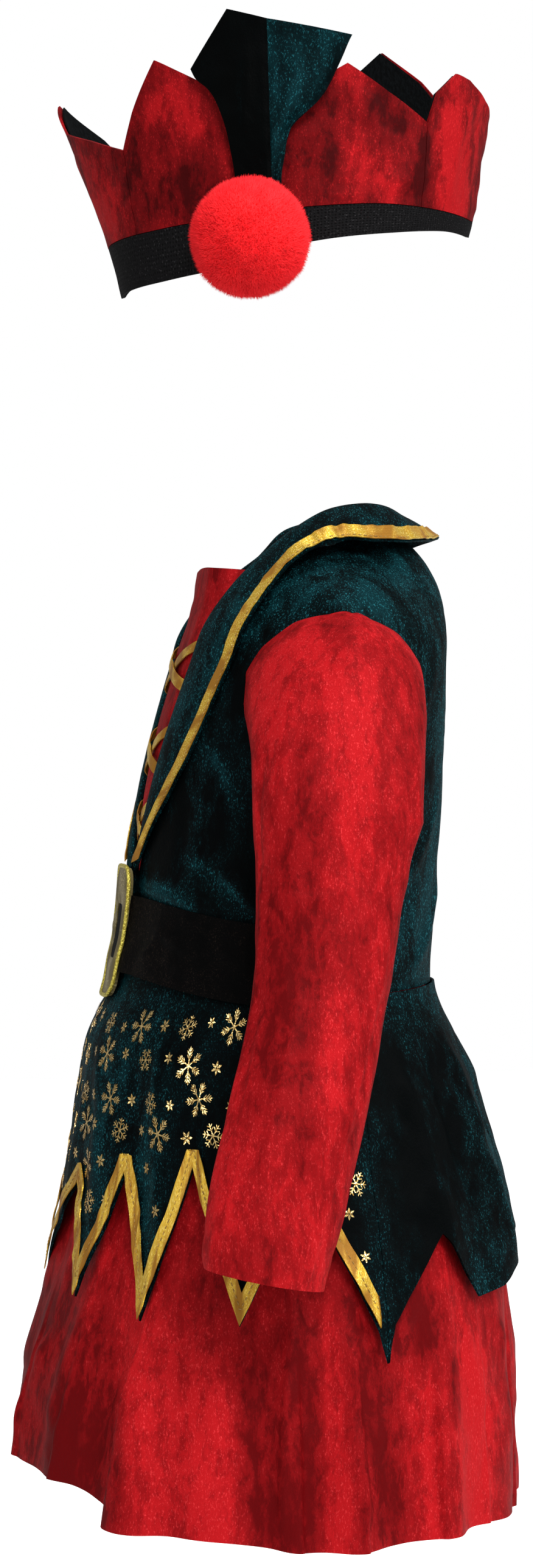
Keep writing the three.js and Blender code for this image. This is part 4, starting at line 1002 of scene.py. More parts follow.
def skirt_point(skirt, angle, drop):
    """A point of a skirt at a drop below the waist seam, broad folds and all."""
    fold = skirt["fold"](drop) * fold_wave(angle)
    facing = np.cos(angle * RAD)
    depth = np.where(facing > 0, skirt["front"](drop) + SKIRT_MID, skirt["back"](drop) - SKIRT_MID)
    x = (skirt["half"](drop) + fold) * np.sin(angle * RAD)
    return points(x, SKIRT_MID - (depth + fold) * facing, waist_z(angle) - drop)


# %% Underskirt
HEM_RISE = table("angle rise", [[0, 19], [30, 18], [40, 13], [47, 5.5], [66, 5], [90, 0.5],
                                [125, 0.5], [150, -2], [180, -2]])
hem_rise = smooth(HEM_RISE, "rise")
UNDER_MM = 2.2


def under_place(angle, v):
    span = waist_z(angle) - HEM_Z - hem_rise(np.abs((angle + 180) % 360 - 180))
    return skirt_point(UNDER, angle, mix(span, 4, v))


# Rows are round the skirt (angle times UNDER_MM) and the height, in millimetres.
SKIRT_CREASES = [
    (256, -330, 224, -392, 4.0, 2.0, 3), (262, -352, 236, -400, 3.0, 1.4, 2),
    (248, -318, 232, -352, 3.5, 1.2, -2), (184, -318, 180, -420, 2.4, 1.6, 1),
    (176, -322, 168, -398, 6.0, -1.8, 2), (128, -300, 116, -350, 7.0, 1.6, 3),
    (154, -330, 148, -404, 8.0, -1.6, -4), (60, -330, 48, -392, 7.0, 1.8, 4),
    (22, -350, 12, -400, 6.0, 1.6, 2), (84, -330, 78, -408, 6.0, -2.0, -3),
    (286, -330, 300, -380, 5.0, 1.4, 3), (318, -340, 330, -400, 6.0, 1.6, -3),
    (306, -372, 298, -410, 4.0, -1.2, 2), (214, -372, 220, -416, 5.0, 1.3, 2),
    (362, -330, 372, -396, 6.0, 1.6, 3), (-36, -330, -52, -396, 7.0, 1.8, 3),
    (-96, -336, -110, -404, 6.0, 1.6, -3), (-150, -330, -166, -380, 5.0, 1.8, 3),
    (-206, -340, -214, -412, 5.0, 1.6, 2), (-262, -330, -250, -396, 6.0, 1.7, -3),
    (-322, -336, -334, -402, 7.0, 1.6, 3), (-376, -340, -366, -400, 6.0, 1.5, 2),
    (-25, -288, -25, -378, 20.0, 2.8, 0),
]

# Sharp folds, where the cloth laps over itself: the same two lines of place, rise and reach.
SKIRT_PLEATS = [
    (104, -318, 99, -428, 7.0, 18), (187, -330, 189, -428, 2.8, -9), (216, -330, 219, -428, 3.4, -12),
    (260, -340, 262, -428, 3.2, 11), (298, -330, 304, -428, 3.0, -12), (344, -335, 340, -428, 3.4, 12),
    (378, -330, 376, -428, 2.6, -10), (60, -335, 54, -428, 2.6, 12), (10, -335, 14, -428, 2.8, -12),
    (-46, -335, -40, -428, 3.0, -12), (-104, -322, -99, -428, 5.0, -15), (-150, -330, -154, -428, 2.8, 11),
    (-196, -335, -192, -428, 3.2, -12), (-246, -330, -252, -428, 3.4, 12), (-300, -335, -296, -428, 3.0, -12),
    (-352, -330, -356, -428, 3.2, 12),
]


def under_relief(angle, v):
    z = under_place(angle, v)[..., 2]
    s = angle * UNDER_MM
    free = ease(-z, 235, 300)
    closing = ease(180 - np.abs(angle), 0, 8)
    crush = 0.9 * swell(s + 500, z * 0.8, 21, 41) + 0.45 * swell(s + 700, z, 9, 42)
    folds = strokes(SKIRT_CREASES, s, z) + pleats(SKIRT_PLEATS, s, z) - 0.8
    return (folds + crush) * closing * free


# Painted light and shade on the underskirt: painted shade in the troughs and under the overskirt's points,
# painted light on the broad ridges.
SKIRT_PAINTED_LIGHT = [
    (-112, -326, -120, -430, 18, -1.3, 0), (-92, -322, -98, -430, 4, -1.2, 0),
    (-72, -322, -68, -436, 15, 1.4, 0), (-52, -330, -54, -434, 9, 0.9, 0),
    (-39, -346, -36, -424, 8, -1.7, -4), (-20, -335, -20, -434, 6.5, -1.4, 0),
    (-6, -322, -6, -436, 5, 1.4, 0), (14, -345, 16, -428, 10, -1.2, 0), (24, -316, 34, -350, 11, -1.8, 0),
    (38, -348, 38, -434, 3.5, 1.2, 0), (58, -340, 64, -430, 11, 1.0, 0), (50, -350, 50, -382, 3, -1.3, 0),
]
paint_light_and_shade(sew("underskirt_cloth", "underskirt", under_place, ring(620, 360.0) - 180, between(0, 1, 96), 1.1,
         *RED, "hung", ["bodice_back_cloth", "belt_cloth"], under_relief, period=360), SKIRT_PAINTED_LIGHT)
print("underskirt flat, m:", tuple(round(x, 3) for x in FLAT["underskirt_cloth"]))

# %% [markdown]
# The overskirt is cut in points. Its grid has a column at every tip and valley, so the
# points stay sharp, and the rows slide down to meet the hem. The satin ribbon is mitred at
# each turn as a dressmaker would fold it: on the flat cloth each edge is moved in by the
# ribbon's width, and then both are laid back on the skirt. Over a valley the fold is flat.

# %% Pointed hems
SIDE_SEAM = 105
FRONT_HEM = np.array([
    [-SIDE_SEAM, -350], [-103, -336], [-88, -276], [-73, -333], [-59, -274], [-44, -334],
    [-29, -276], [-12, -330], [12, -283], [23, -330], [34, -275], [46, -334], [57, -270],
    [71, -333], [87, -273], [103, -336], [SIDE_SEAM, -350]], float)
BACK_HEM = np.array([
    [SIDE_SEAM, -350], [107, -334], [121, -299], [132.5, -328], [142, -326], [158, -314], [180, -303],
    [202, -314], [218, -326], [227.5, -328], [239, -299], [253, -334], [360 - SIDE_SEAM, -350]], float)
OVER_MM = 2.0
OVER_CREASES = [
    (30, -222, 44, -300, 7.0, 1.8, -3), (66, -226, 84, -300, 6.0, -1.6, 2),
    (86, -214, 96, -300, 5.0, 1.5, 3), (112, -214, 124, -290, 6.0, 1.5, -2),
    (140, -222, 152, -290, 6.0, -1.4, 2), (178, -232, 190, -318, 6.0, 1.6, 3),
    (12, -240, 8, -300, 6.0, 1.3, 2), (58, -206, 102, -212, 3.5, 0.9, -2),
    (-22, -292, -24, -346, 10.0, -1.2, 0), (-30, -226, -44, -300, 7.0, 1.7, 3),
    (-84, -224, -96, -300, 6.0, 1.5, -3), (-124, -222, -132, -300, 6.0, -1.5, 2),
    (-168, -226, -184, -310, 6.0, 1.6, -2),
]
BACK_CREASES = [
    (232, -206, 246, -318, 6.0, 2.0, -3), (262, -208, 276, -300, 5.0, -1.8, 2),
    (290, -206, 306, -324, 7.0, 2.2, 4), (322, -210, 330, -316, 6.0, -1.6, -2),
    (352, -210, 356, -300, 7.0, 1.8, 3), (386, -208, 398, -318, 6.0, 1.8, -3),
    (420, -208, 436, -322, 6.0, 2.0, 3), (458, -210, 470, -300, 6.0, -1.6, 2),
    (488, -208, 498, -318, 6.0, 1.8, -2), (274, -240, 300, -290, 4.0, 1.0, 2),
]


def hem_z(hem):
    return lambda angle: np.interp(angle, hem[:, 0], hem[:, 1])


def hem_columns(hem, between_points):
    columns = [np.linspace(a, b, between_points, endpoint=False) for a, b in zip(hem[:-1, 0], hem[1:, 0])]
    columns = np.concatenate([*columns, hem[-1:, 0]])
    columns[0] += SEAM_ANGLE
    columns[-1] -= SEAM_ANGLE
    return columns


def over_relief(folds, angle, drop):
    z = waist_z(angle) - drop
    s = angle * OVER_MM
    free = ease(drop, 14, 40)
    crush = 0.7 * swell(s + 900, z, 15, 51) + 0.35 * swell(s + 600, z, 7, 52)
    return (strokes(folds, s, z) + crush) * free


def over_face(angle, drop, lift):
    """A point lifted off the folded face of the overskirt's front."""
    skin = lambda turn, fall: skirt_point(OVER, turn, -fall)
    out = over_relief(OVER_CREASES, angle, drop) + lift
    return skin(angle, -drop) + normals_of(skin, angle, -drop) * out[..., None]


def pointed(hem):
    """The surface down to a pointed hem, and its drop below the waist seam."""
    low = hem_z(hem)
    drop = lambda angle, v: (1 - v) * (waist_z(angle) - low(angle))
    return (lambda angle, v: skirt_point(OVER, angle, drop(angle, v))), drop


front_place, front_drop = pointed(FRONT_HEM)
back_place, back_drop = pointed(BACK_HEM)
# The overskirt's back has a broad painted shade and a narrow painted highlight.
paint_light_and_shade(sew("overskirt_back_cloth", "overskirt_back", back_place, hem_columns(BACK_HEM, 16), between(0, 1, 66),
         1.0, *GREEN, "hung", ["bodice_back_cloth", "underskirt_cloth"],
         lambda a, v: over_relief(BACK_CREASES, a, back_drop(a, v)), zigzag=True),
     [(30, -205, 62, -325, 26, -1.0, 0), (74, -240, 96, -318, 10, 0.5, 0)])

# %% Hem ribbon
HEM_ROUND = 115
HEM_FLAT = RAD * HEM_ROUND
HEM_RIBBON = 6
RIBBON_FOLD = 7.5
RIBBON_LIFT = 1.35
hem_low = FRONT_HEM[1:-1] * (HEM_FLAT, 1)
steps = unit(np.diff(hem_low, axis=0))
sides = np.stack([-steps[:, 1], steps[:, 0]], axis=-1)
hem_high = hem_low.copy()
hem_high[1:-1] += (sides[:-1] + sides[1:]) * (HEM_RIBBON / (1 + (sides[:-1] * sides[1:]).sum(-1)))[:, None]
hem_high[0] += (0, HEM_RIBBON / sides[0, 1])
hem_high[-1] += (0, HEM_RIBBON / sides[-1, 1])


def hem_flat(u, v):
    """Where a place on the ribbon lies on the skirt. It is cut level over a valley."""
    i = np.clip(np.floor(u).astype(int), 0, len(hem_low) - 2)
    w = (u - i)[..., None]
    low, high = mix(hem_low[i], hem_low[i + 1], w), mix(hem_high[i], hem_high[i + 1], w)
    flat = mix(low, high, v[..., None])
    fold_top = np.maximum(hem_low[i, 1], hem_low[i + 1, 1]) + RIBBON_FOLD
    flat[..., 1] = np.minimum(flat[..., 1], fold_top)
    angle = flat[..., 0] / HEM_FLAT
    return angle, waist_z(angle) - flat[..., 1]


def hem_ribbon_place(u, v):
    angle, drop = hem_flat(*np.broadcast_arrays(u, v))
    return over_face(angle, drop, RIBBON_LIFT)


def hem_pucker(u, v):
    stitch = -0.18 * np.exp(-(((v - 0.5) / 0.09) ** 2))
    return 0.3 * swell(u * 62, v * 5, 5, 53) + stitch


spans = len(hem_low) - 1
hem_steps = np.concatenate([between(i, i + 1, 60)[i > 0:] for i in range(spans)])
hem_steps[0], hem_steps[-1] = 0.02, spans - 0.02
hem_satin = trim("overskirt_ribbon_satin", "overskirt_ribbon", hem_ribbon_place, hem_steps,
                 between(0.03, 1, 8), hem_pucker)
print("hem ribbon length, m:", round(FLAT["overskirt_ribbon_satin"][0], 3))

# %% [markdown]
# The snowflakes are gold foil pressed onto the velvet. A foil mark is a very thin layer, so
# each flake is made of short strokes a tenth of a millimetre thick that follow every fold of
# the cloth. There are three kinds, each drawn from its own rule of six arms, and they are
# set out on staggered rows with a seeded wander. Rows stop above the ribbon.

# %% Foil snowflakes
FLAKE_ROW = 15.5
FLAKE_COLUMN = 8.4
FLAKE_SKIRT = 108
FLAKE_SIZES = (("leafy", 7.4), ("bud", 2.9), ("barred", 5.4), ("bud", 2.6))
FOIL = 0.12
FOIL_LIFT = 0.1


def arm_strokes(kind):
    """One arm pointing up, as strokes x0, y0, x1, y1, width at each end and in the middle."""
    if kind == "leafy":
        made = [(0, 0, 0, 1, 0.09, 0.07, 0.02)]
        for y, reach in ((0.38, 0.26), (0.58, 0.30), (0.78, 0.2)):
            for side in (-1, 1):
                made.append((0, y, side * reach * 0.8, y + reach, 0.03, 0.1, 0.015))
        return made + [(0, 0.8, 0, 1.1, 0.03, 0.1, 0.01)]
    if kind == "barred":
        made = [(0, 0, 0, 1, 0.09, 0.09, 0.07)]
        for y, reach in ((0.42, 0.3), (0.7, 0.26)):
            for side in (-1, 1):
                made.append((0, y, side * reach, y + reach * 0.7, 0.08, 0.08, 0.07))
        return made
    return [(0, 0.12, 0, 1, 0.1, 0.42, 0.05), (-0.2, 0.55, 0.2, 0.55, 0.1, 0.16, 0.1)]


def flake_points(kind, radius, turn):
    """Quads of one flake on flat cloth: strokes x sections x two edges."""
    made = []
    for arm in range(6):
        c, s = math.cos(turn + arm * math.pi / 3), math.sin(turn + arm * math.pi / 3)
        for x0, y0, x1, y1, w0, w1, w2 in arm_strokes(kind):
            t = np.array([0, 0.33, 0.67, 1])
            width = np.interp(t, [0, 0.5, 1], [w0, w1, w2]) / 2
            length = math.hypot(x1 - x0, y1 - y0)
            nx, ny = -(y1 - y0) / length, (x1 - x0) / length
            x, y = mix(x0, x1, t), mix(y0, y1, t)
            edge = np.stack([np.stack([x + nx * width, y + ny * width], -1),
                             np.stack([x - nx * width, y - ny * width], -1)], 1)
            made.append(radius * np.stack([edge[..., 0] * c - edge[..., 1] * s,
                                           edge[..., 0] * s + edge[..., 1] * c], -1))
    return np.array(made)


draw = np.random.RandomState(12)
front_hem_z = hem_z(FRONT_HEM)
flakes = []
for row, z in enumerate(np.arange(-212, -330, -FLAKE_ROW)):
    for column, angle in enumerate(np.arange(-101 + FLAKE_COLUMN / 2 * (row % 2), 102, FLAKE_COLUMN)):
        kind, radius = FLAKE_SIZES[(column + 2 * row + row // 2) % 4]
        at = np.array([angle + draw.uniform(-1.2, 1.2), z + draw.uniform(-2.5, 2.5)])
        reach = np.degrees(radius / FLAKE_SKIRT)
        lowest = max(front_hem_z(at[0] - reach), front_hem_z(at[0] + reach), front_hem_z(at[0]))
        behind = abs(at[0]) > 103 - reach
        if at[1] - radius < lowest + 2 or behind:
            continue
        flakes.append((kind, radius * draw.uniform(0.92, 1.05), draw.uniform(0, 1), at))

vertices, faces = [], []
for kind, radius, turn, (angle, z) in flakes:
    flat = flake_points(kind, radius, turn)
    turned_to = angle + flat[..., 0] / (RAD * FLAKE_SKIRT)
    drop = waist_z(turned_to) - (z + flat[..., 1])
    top = over_face(turned_to, drop, FOIL_LIFT + FOIL)
    low = over_face(turned_to, drop, FOIL_LIFT)
    for upper, lower in zip(top, low):
        start = len(vertices)
        vertices.extend(np.concatenate([upper.reshape(-1, 3), lower.reshape(-1, 3)]))
        n = upper.shape[0]
        for i in range(n - 1):
            a, b = start + 2 * i, start + 2 * i + 1
            c, d = b + 2, a + 2
            k = 2 * n
            faces += [(a, d, c, b), (a + k, b + k, c + k, d + k), (a, a + k, d + k, d), (b, c, c + k, b + k)]
        e = start + 2 * n - 2
        faces += [(start, start + 1, start + 1 + k, start + k), (e, e + k, e + 1 + k, e + 1)]
snowflakes = mesh_object("foil_snowflakes", np.array(vertices), faces)
solid = bmesh.new()
solid.from_mesh(snowflakes.data)
bmesh.ops.recalc_face_normals(solid, faces=solid.faces)
solid.to_mesh(snowflakes.data)
solid.free()
snowflakes.data.polygons.foreach_set("use_smooth", [False] * len(snowflakes.data.polygons))

foil, tree, shader = material("gold foil")
place = node(tree, "ShaderNodeTexCoord").outputs["Object"]
worn = spread(tree, noise(tree, place, 900.0, 3.0), 0.35, 0.6)
tree.links.new(blend(tree, worn, (0.30, 0.16, 0.03), (0.95, 0.70, 0.30)), shader.inputs["Base Color"])
tree.links.new(spread(tree, worn, 0, 1, 0.42, 0.2), shader.inputs["Roughness"])
shader.inputs["Metallic"].default_value = 1.0
bump(tree, shader, noise(tree, place, 500.0, 2.0), 0.6, 0.0006)
snowflakes.data.materials.append(foil)
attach(snowflakes, "root")
print("snowflakes:", len(flakes), "faces:", len(faces))
sew("overskirt_front_cloth", "overskirt_front", front_place, hem_columns(FRONT_HEM, 16), between(0, 1, 78),
    1.0, *GREEN, "hung", ["bodice_front_left_cloth", "bodice_front_right_cloth", "underskirt_cloth"],
    lambda a, v: over_relief(OVER_CREASES, a, front_drop(a, v)), trims=[hem_satin, snowflakes], zigzag=True)

# %% [markdown]
# The belt is a plain velvet band over the front, from side seam to side seam. Its buckle is
# a padded frame of pale metallic cloth, sewn on, so it bends round the body with the belt.
# It is softest at the middle of each bar and has a bright cord piped round its rim.

# %% Belt and buckle
BELT_STAND = table("v out", [[0, 6.8], [0.25, 5.8], [0.6, 4.5], [1, 4.1]])
belt_out = smooth(BELT_STAND, "out")
BUCKLE_STAND = table("z out", [
    [-204, 11.6], [-196, 10.1], [-187, 9.5], [-175, 8.2], [-160, 8.1], [-144, 8.6],
])
buckle_out = smooth(BUCKLE_STAND, "out")
BELT_LOW, BELT_HIGH = -4, 30
BUCKLE_Z = WAIST_Z + 13.5


def belt_place(angle, v):
    padded = 2.6 * np.exp(-((angle / 14) ** 4))
    return body_point(angle, waist_z(angle) + mix(BELT_LOW, BELT_HIGH, v), belt_out(v) + padded)


def belt_relief(angle, v):
    s, up = angle * ANGLE_MM, v * (BELT_HIGH - BELT_LOW)
    crush = 0.35 * swell(s, up, 13, 61) + 0.2 * swell(s, up, 6, 62)
    slack = strokes([(40, 24, 120, 12, 3.5, 1.2, 2), (-40, 22, -118, 12, 3.5, 1.2, -2),
                     (60, 10, 130, 5, 3.0, 0.9, 1), (34, 8, 50, 22, 3.0, 0.8, 1)], s, up)
    return (crush + slack) * ease(90 - np.abs(angle), 0, 8)


def frame_radius(turn, half_width, half_height):
    """The reach of an oblong with round corners."""
    side, end = np.abs(np.cos(turn) / half_width) ** 5, np.abs(np.sin(turn) / half_height) ** 5
    return (side + end) ** -0.2


def buckle_place(turn, v):
    inner = frame_radius(turn, 8 - 0.5 * np.sin(turn), 12)
    reach = mix(inner, frame_radius(turn, 17 - 1.5 * np.sin(turn), 29), v)
    z = BUCKLE_Z - reach * np.sin(turn)
    out = buckle_out(z)
    return body_point(np.arcsin(reach * np.cos(turn) / (body_half(z) + out)) / RAD, z, out)


def buckle_puff(turn, v):
    crown = 1 - np.abs(2 * v - 1) ** 2.6
    dent = 0.6 * swell(turn * 22, v * 14, 9, 63)
    return crown * (0.9 + dent) - 0.6


sew("belt_cloth", "belt", belt_place, between(-90, 90, 130), between(0, 1, 26), 1.3,
    "black_velvet", black_velvet, "stretched", ["bodice_front_left_cloth", "bodice_front_right_cloth"],
    belt_relief)
buckle = wear(cut("buckle_pad", buckle_place, ring(140, 2 * math.pi), between(0, 1, 22), 2.2,
                  buckle_puff, closed=True), "buckle", pale_gold)

# %% [markdown]
# Cords, stitches and the pile of the pompom all repeat, so Geometry Nodes make them. A tree
# takes a line or a surface, sets one small shape at every step, and ends in real geometry
# with its own finish. The line itself comes from the same place functions as the cloth.

# %% Tools for repeated pieces


def line_object(name, path, closed=False):
    """A line of edges through points in millimetres."""
    mesh = bpy.data.meshes.new(name)
    edges = [(i, i + 1) for i in range(len(path) - 1)] + ([(len(path) - 1, 0)] if closed else [])
    mesh.from_pydata((np.asarray(path) * MM).tolist(), edges, [])
    made = bpy.data.objects.new(name, mesh)
    bpy.context.scene.collection.objects.link(made)
    return made


def new_tree(name, inputs):
    tree = bpy.data.node_groups.new(name, "GeometryNodeTree")
    tree.interface.new_socket("Geometry", in_out="INPUT", socket_type="NodeSocketGeometry")
    for title, kind, value in inputs:
        socket = tree.interface.new_socket(title, in_out="INPUT", socket_type=f"NodeSocket{kind}")
        socket.default_value = value
    tree.interface.new_socket("Geometry", in_out="OUTPUT", socket_type="NodeSocketGeometry")
    return tree, tree.nodes.new("NodeGroupInput"), tree.nodes.new("NodeGroupOutput")


def end_tree(tree, geometry, finish, result):
    """Every tree ends in real geometry with its material."""
    real = tree.nodes.new("GeometryNodeRealizeInstances")
    coat = node(tree, "GeometryNodeSetMaterial")
    coat.inputs["Material"].default_value = finish
    tree.links.new(geometry, real.inputs[0])
    tree.links.new(real.outputs[0], coat.inputs[0])
    tree.links.new(coat.outputs[0], result.inputs[0])


def grow(base, tree, name, **values):
    """Runs a tree on an object and keeps its result as a plain mesh."""
    modifier = base.modifiers.new("grow", "NODES")
    modifier.node_group = tree
    sockets = {s.name: s.identifier for s in tree.interface.items_tree if s.in_out == "INPUT"}
    for title, value in values.items():
        modifier[sockets[title.replace("_", " ")]] = value
    graph = bpy.context.evaluated_depsgraph_get()
    mesh = bpy.data.meshes.new_from_object(base.evaluated_get(graph))
    mesh.name = name
    made = bpy.data.objects.new(name, mesh)
    bpy.context.scene.collection.objects.link(made)
    bpy.data.objects.remove(base)
    mesh.polygons.foreach_set("use_smooth", [True] * len(mesh.polygons))
    print(name, "faces:", len(mesh.polygons))
    return made


def cord_tree(finish):
    tree, given, result = new_tree("piping cord", [("Radius", "Float", 0.0006)])
    links = tree.links
    curve = tree.nodes.new("GeometryNodeMeshToCurve")
    round_section = node(tree, "GeometryNodeCurvePrimitiveCircle", Resolution=8)
    sweep = node(tree, "GeometryNodeCurveToMesh", Fill_Caps=True)
    links.new(given.outputs["Geometry"], curve.inputs[0])
    links.new(given.outputs["Radius"], round_section.inputs["Radius"])
    links.new(curve.outputs[0], sweep.inputs["Curve"])
    links.new(round_section.outputs[0], sweep.inputs["Profile Curve"])
    end_tree(tree, sweep.outputs[0], finish, result)
    return tree


def stitch_tree(finish):
    """Short stitches laid end to end along a line, with a gap between them."""
    tree, given, result = new_tree("stitches", [("Pitch", "Float", 0.0024), ("Length", "Float", 0.0016),
                                                ("Radius", "Float", 0.00018)])
    links = tree.links
    curve = tree.nodes.new("GeometryNodeMeshToCurve")
    even = node(tree, "GeometryNodeResampleCurve", mode="LENGTH")
    spots = node(tree, "GeometryNodeCurveToPoints", mode="EVALUATED")
    stitch = node(tree, "GeometryNodeMeshCylinder", Vertices=5)
    place = tree.nodes.new("GeometryNodeInstanceOnPoints")
    links.new(given.outputs["Geometry"], curve.inputs[0])
    links.new(curve.outputs[0], even.inputs["Curve"])
    links.new(given.outputs["Pitch"], even.inputs["Length"])
    links.new(even.outputs[0], spots.inputs[0])
    links.new(given.outputs["Radius"], stitch.inputs["Radius"])
    links.new(given.outputs["Length"], stitch.inputs["Depth"])
    align = node(tree, "FunctionNodeAlignRotationToVector", axis="Z")
    links.new(spots.outputs["Tangent"], align.inputs["Vector"])
    links.new(spots.outputs[0], place.inputs["Points"])
    links.new(stitch.outputs[0], place.inputs["Instance"])
    links.new(align.outputs[0], place.inputs["Rotation"])
    end_tree(tree, place.outputs[0], finish, result)
    return tree


bright_cord, tree, shader = material("gold piping")
cord_place = node(tree, "ShaderNodeTexCoord").outputs["Object"]
twist = spread(tree, noise(tree, cord_place, 1100.0, 2.0), 0.35, 0.65)
tree.links.new(blend(tree, twist, (0.25, 0.19, 0.015), (0.55, 0.47, 0.08)), shader.inputs["Base Color"])
shader.inputs["Metallic"].default_value = 0.6
shader.inputs["Roughness"].default_value = 0.4
bump(tree, shader, twist, 0.5, 0.0005)

rim_turns = ring(160, 2 * math.pi)
outermost = np.ones(len(rim_turns))
rim = face_of(buckle_place, buckle_puff)(rim_turns, outermost)
rim += normals_of(buckle_place, rim_turns, outermost) * 0.2
rim_line = line_object("rim_line", rim, closed=True)
piping = grow(rim_line, cord_tree(bright_cord), "buckle_piping", Radius=0.00095)
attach(piping, "root")

# %% Stitches on the ribbons
thread, tree, shader = material("gold thread")
thread_place = node(tree, "ShaderNodeTexCoord").outputs["Object"]
shade = spread(tree, noise(tree, thread_place, 700.0, 2.0), 0.35, 0.65)
tree.links.new(blend(tree, shade, (0.16, 0.08, 0.012), (0.3, 0.17, 0.03)), shader.inputs["Base Color"])
shader.inputs["Roughness"].default_value = 0.6
stitches = stitch_tree(thread)
hem_line = hem_ribbon_place(between(0.05, spans - 0.05, 900), np.full(900, 0.5))
along = between(0.05, 0.97, 700)
on_ribbon, on_collar = np.full(len(along), 0.86), np.full(len(along), 0.98)
collar_left_line = ribbon_place(on_ribbon, along)
collar_left_line += normals_of(collar_place, on_collar, along) * 0.15
upright_line = mirrored(ribbon_place)(-on_ribbon, along)
lean_back = leant(ribbon_place, 0)(-on_ribbon, along) - upright_line
collar_right_line = collar_left_line * np.array([-1, 1, 1]) + lean_back
for name, path, slot in (("hem_stitches", hem_line, "gold_ribbon"),
                         ("collar_stitches_left", collar_left_line, "gold_ribbon"),
                         ("collar_stitches_right", collar_right_line, "gold_ribbon")):
    made = grow(line_object(name + "_line", path), stitches, name, Pitch=0.0027, Length=0.0015)
    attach(made, "root")

# %% [markdown]
# The hat is an open crown on a stretchy band, which keeps nearly a circle. Its lists run
# round the hat from the middle of the front petal, in degrees towards the wearer's left. The
# crown's panels meet in valleys and each rises to a point, flaring out a little at the top.

# %% The hat's forms
HAT_FRONT = 68
BAND_RADIUS = 81
FLARE_HEIGHT = 65
FLARE_AT_BAND = 0.12
PANEL_GAP = 0.12
HAT_BAND = table("turn top bottom radius", [
    [-180, 173, 156, 81], [-168, 171, 153.5, 81], [-138, 158.5, 140, 80.5], [-116, 150.5, 131, 80],
    [-98, 143, 122, 79.5], [-78, 136, 113.8, 77.6], [-40, 134.5, 112.3, 79.5],
    [-18, 135.5, 113.8, 80.5], [19, 140.5, 126, 80.5], [44, 143.5, 131.5, 80], [70, 144.5, 136.5, 80.4],
    [92, 146, 139, 80.6], [112, 155, 145.5, 80.6], [134, 167, 153.5, 80.6], [160, 174.5, 157.5, 80.8],
    [180, 173, 156, 81],
])
CROWN = table("turn top flare", [
    [-180, 190, 6], [-164, 214, 6], [-150, 229, 7], [-136, 205, 9], [-118, 172, 14],
    [-104, 195, 22], [-92, 207, 27], [-80, 189, 24], [-62, 180, 17], [-45, 171, 12],
    [-39, 186, 10.5], [-29, 206, 9], [-18, 197, 7], [-6, 187, 5.5], [0, 176, 5], [6, 181, 5.5],
    [16, 191, 7], [27, 201, 8], [40, 190.5, 8], [55, 180, 8], [58, 194, 8], [66, 204, 8],
    [75, 204, 7], [88, 199, 9], [102, 195, 10.5], [118, 178, 9], [132, 206, 7], [146, 226, 6],
    [161, 243, 4], [170, 234, 5], [180, 190, 6],
])
PANELS = (("back_left", -180, -118), ("side_left", -118, -45), ("front_left", -45, 0),
          ("front_right", 0, 55), ("side_right", 55, 118), ("back_right", 118, 180))
band_top, band_bottom, band_radius = (smooth(HAT_BAND, name) for name in ("top", "bottom", "radius"))
crown_top, crown_flare = straight(CROWN, "top"), smooth(CROWN, "flare")


def hat_point(turn, z, radius):
    angle = (HAT_FRONT + turn) * RAD
    return points(radius * np.sin(angle), -radius * np.cos(angle), z)


def band_place(turn, v):
    turn = (turn + 180) % 360 - 180
    top_radius = BAND_RADIUS + crown_flare(turn) * FLARE_AT_BAND
    return hat_point(turn, mix(band_bottom(turn), band_top(turn), v), mix(band_radius(turn), top_radius, v))


def crown_place(turn, v, inset=0.0, lowered=0.0):
    turn = (turn + 180) % 360 - 180
    z = mix(band_top(turn) + SEAM, crown_top(turn) - lowered, v)
    rise = (z - band_top(turn)) / FLARE_HEIGHT + FLARE_AT_BAND
    return hat_point(turn, z, BAND_RADIUS + crown_flare(turn) * rise - inset)


def panel_columns(first, last):
    """Even steps with one on every row of the table, so each point stays sharp."""
    stops = [first] + [t for t in CROWN["turn"] if first < t < last] + [last]
    counts = [max(2, round((b - a) / 1.3)) for a, b in zip(stops, stops[1:])]
    parts = [np.linspace(a, b, n, endpoint=False) for a, b, n in zip(stops, stops[1:], counts)]
    columns = np.concatenate([*parts, [last]])
    columns[0] += PANEL_GAP
    columns[-1] -= PANEL_GAP
    return columns


# %% Hat cloth
knit, tree, shader = material("black knit")
knit_uv = node(tree, "ShaderNodeUVMap", uv_map="cloth").outputs[0]
holes = node(tree, "ShaderNodeTexVoronoi", Scale=620.0, Randomness=0.25)
tree.links.new(knit_uv, holes.inputs["Vector"])
open_knit = spread(tree, holes.outputs["Distance"], 0.12, 0.4)
# Painted glints: light grey specks on the open knit's strands.
painted_glints = spread(tree, noise(tree, knit_uv, 900.0, 2.0), 0.58, 0.7)
painted_glint_share = maths(tree, "MULTIPLY", painted_glints, open_knit)
strand_shade = blend(tree, open_knit, (0.0008, 0.0008, 0.0009), (0.0035, 0.0033, 0.0036))
tree.links.new(blend(tree, painted_glint_share, strand_shade, (0.02, 0.019, 0.02)), shader.inputs["Base Color"])
shader.inputs["Roughness"].default_value = 0.7
shader.inputs["Specular IOR Level"].default_value = 0.04
bump(tree, shader, open_knit, 0.7, 0.0005)

lining_cloth, tree, shader = material("black lining")
lining_uv = node(tree, "ShaderNodeUVMap", uv_map="cloth").outputs[0]
grain = spread(tree, noise(tree, lining_uv, 700.0, 3.0), 0.35, 0.7)
lining_shade = blend(tree, grain, (0.0006, 0.0008, 0.0009), (0.002, 0.0026, 0.003))
tree.links.new(lining_shade, shader.inputs["Base Color"])
shader.inputs["Roughness"].default_value = 0.85
shader.inputs["Specular IOR Level"].default_value = 0.04
bump(tree, shader, grain, 0.3, 0.0004)


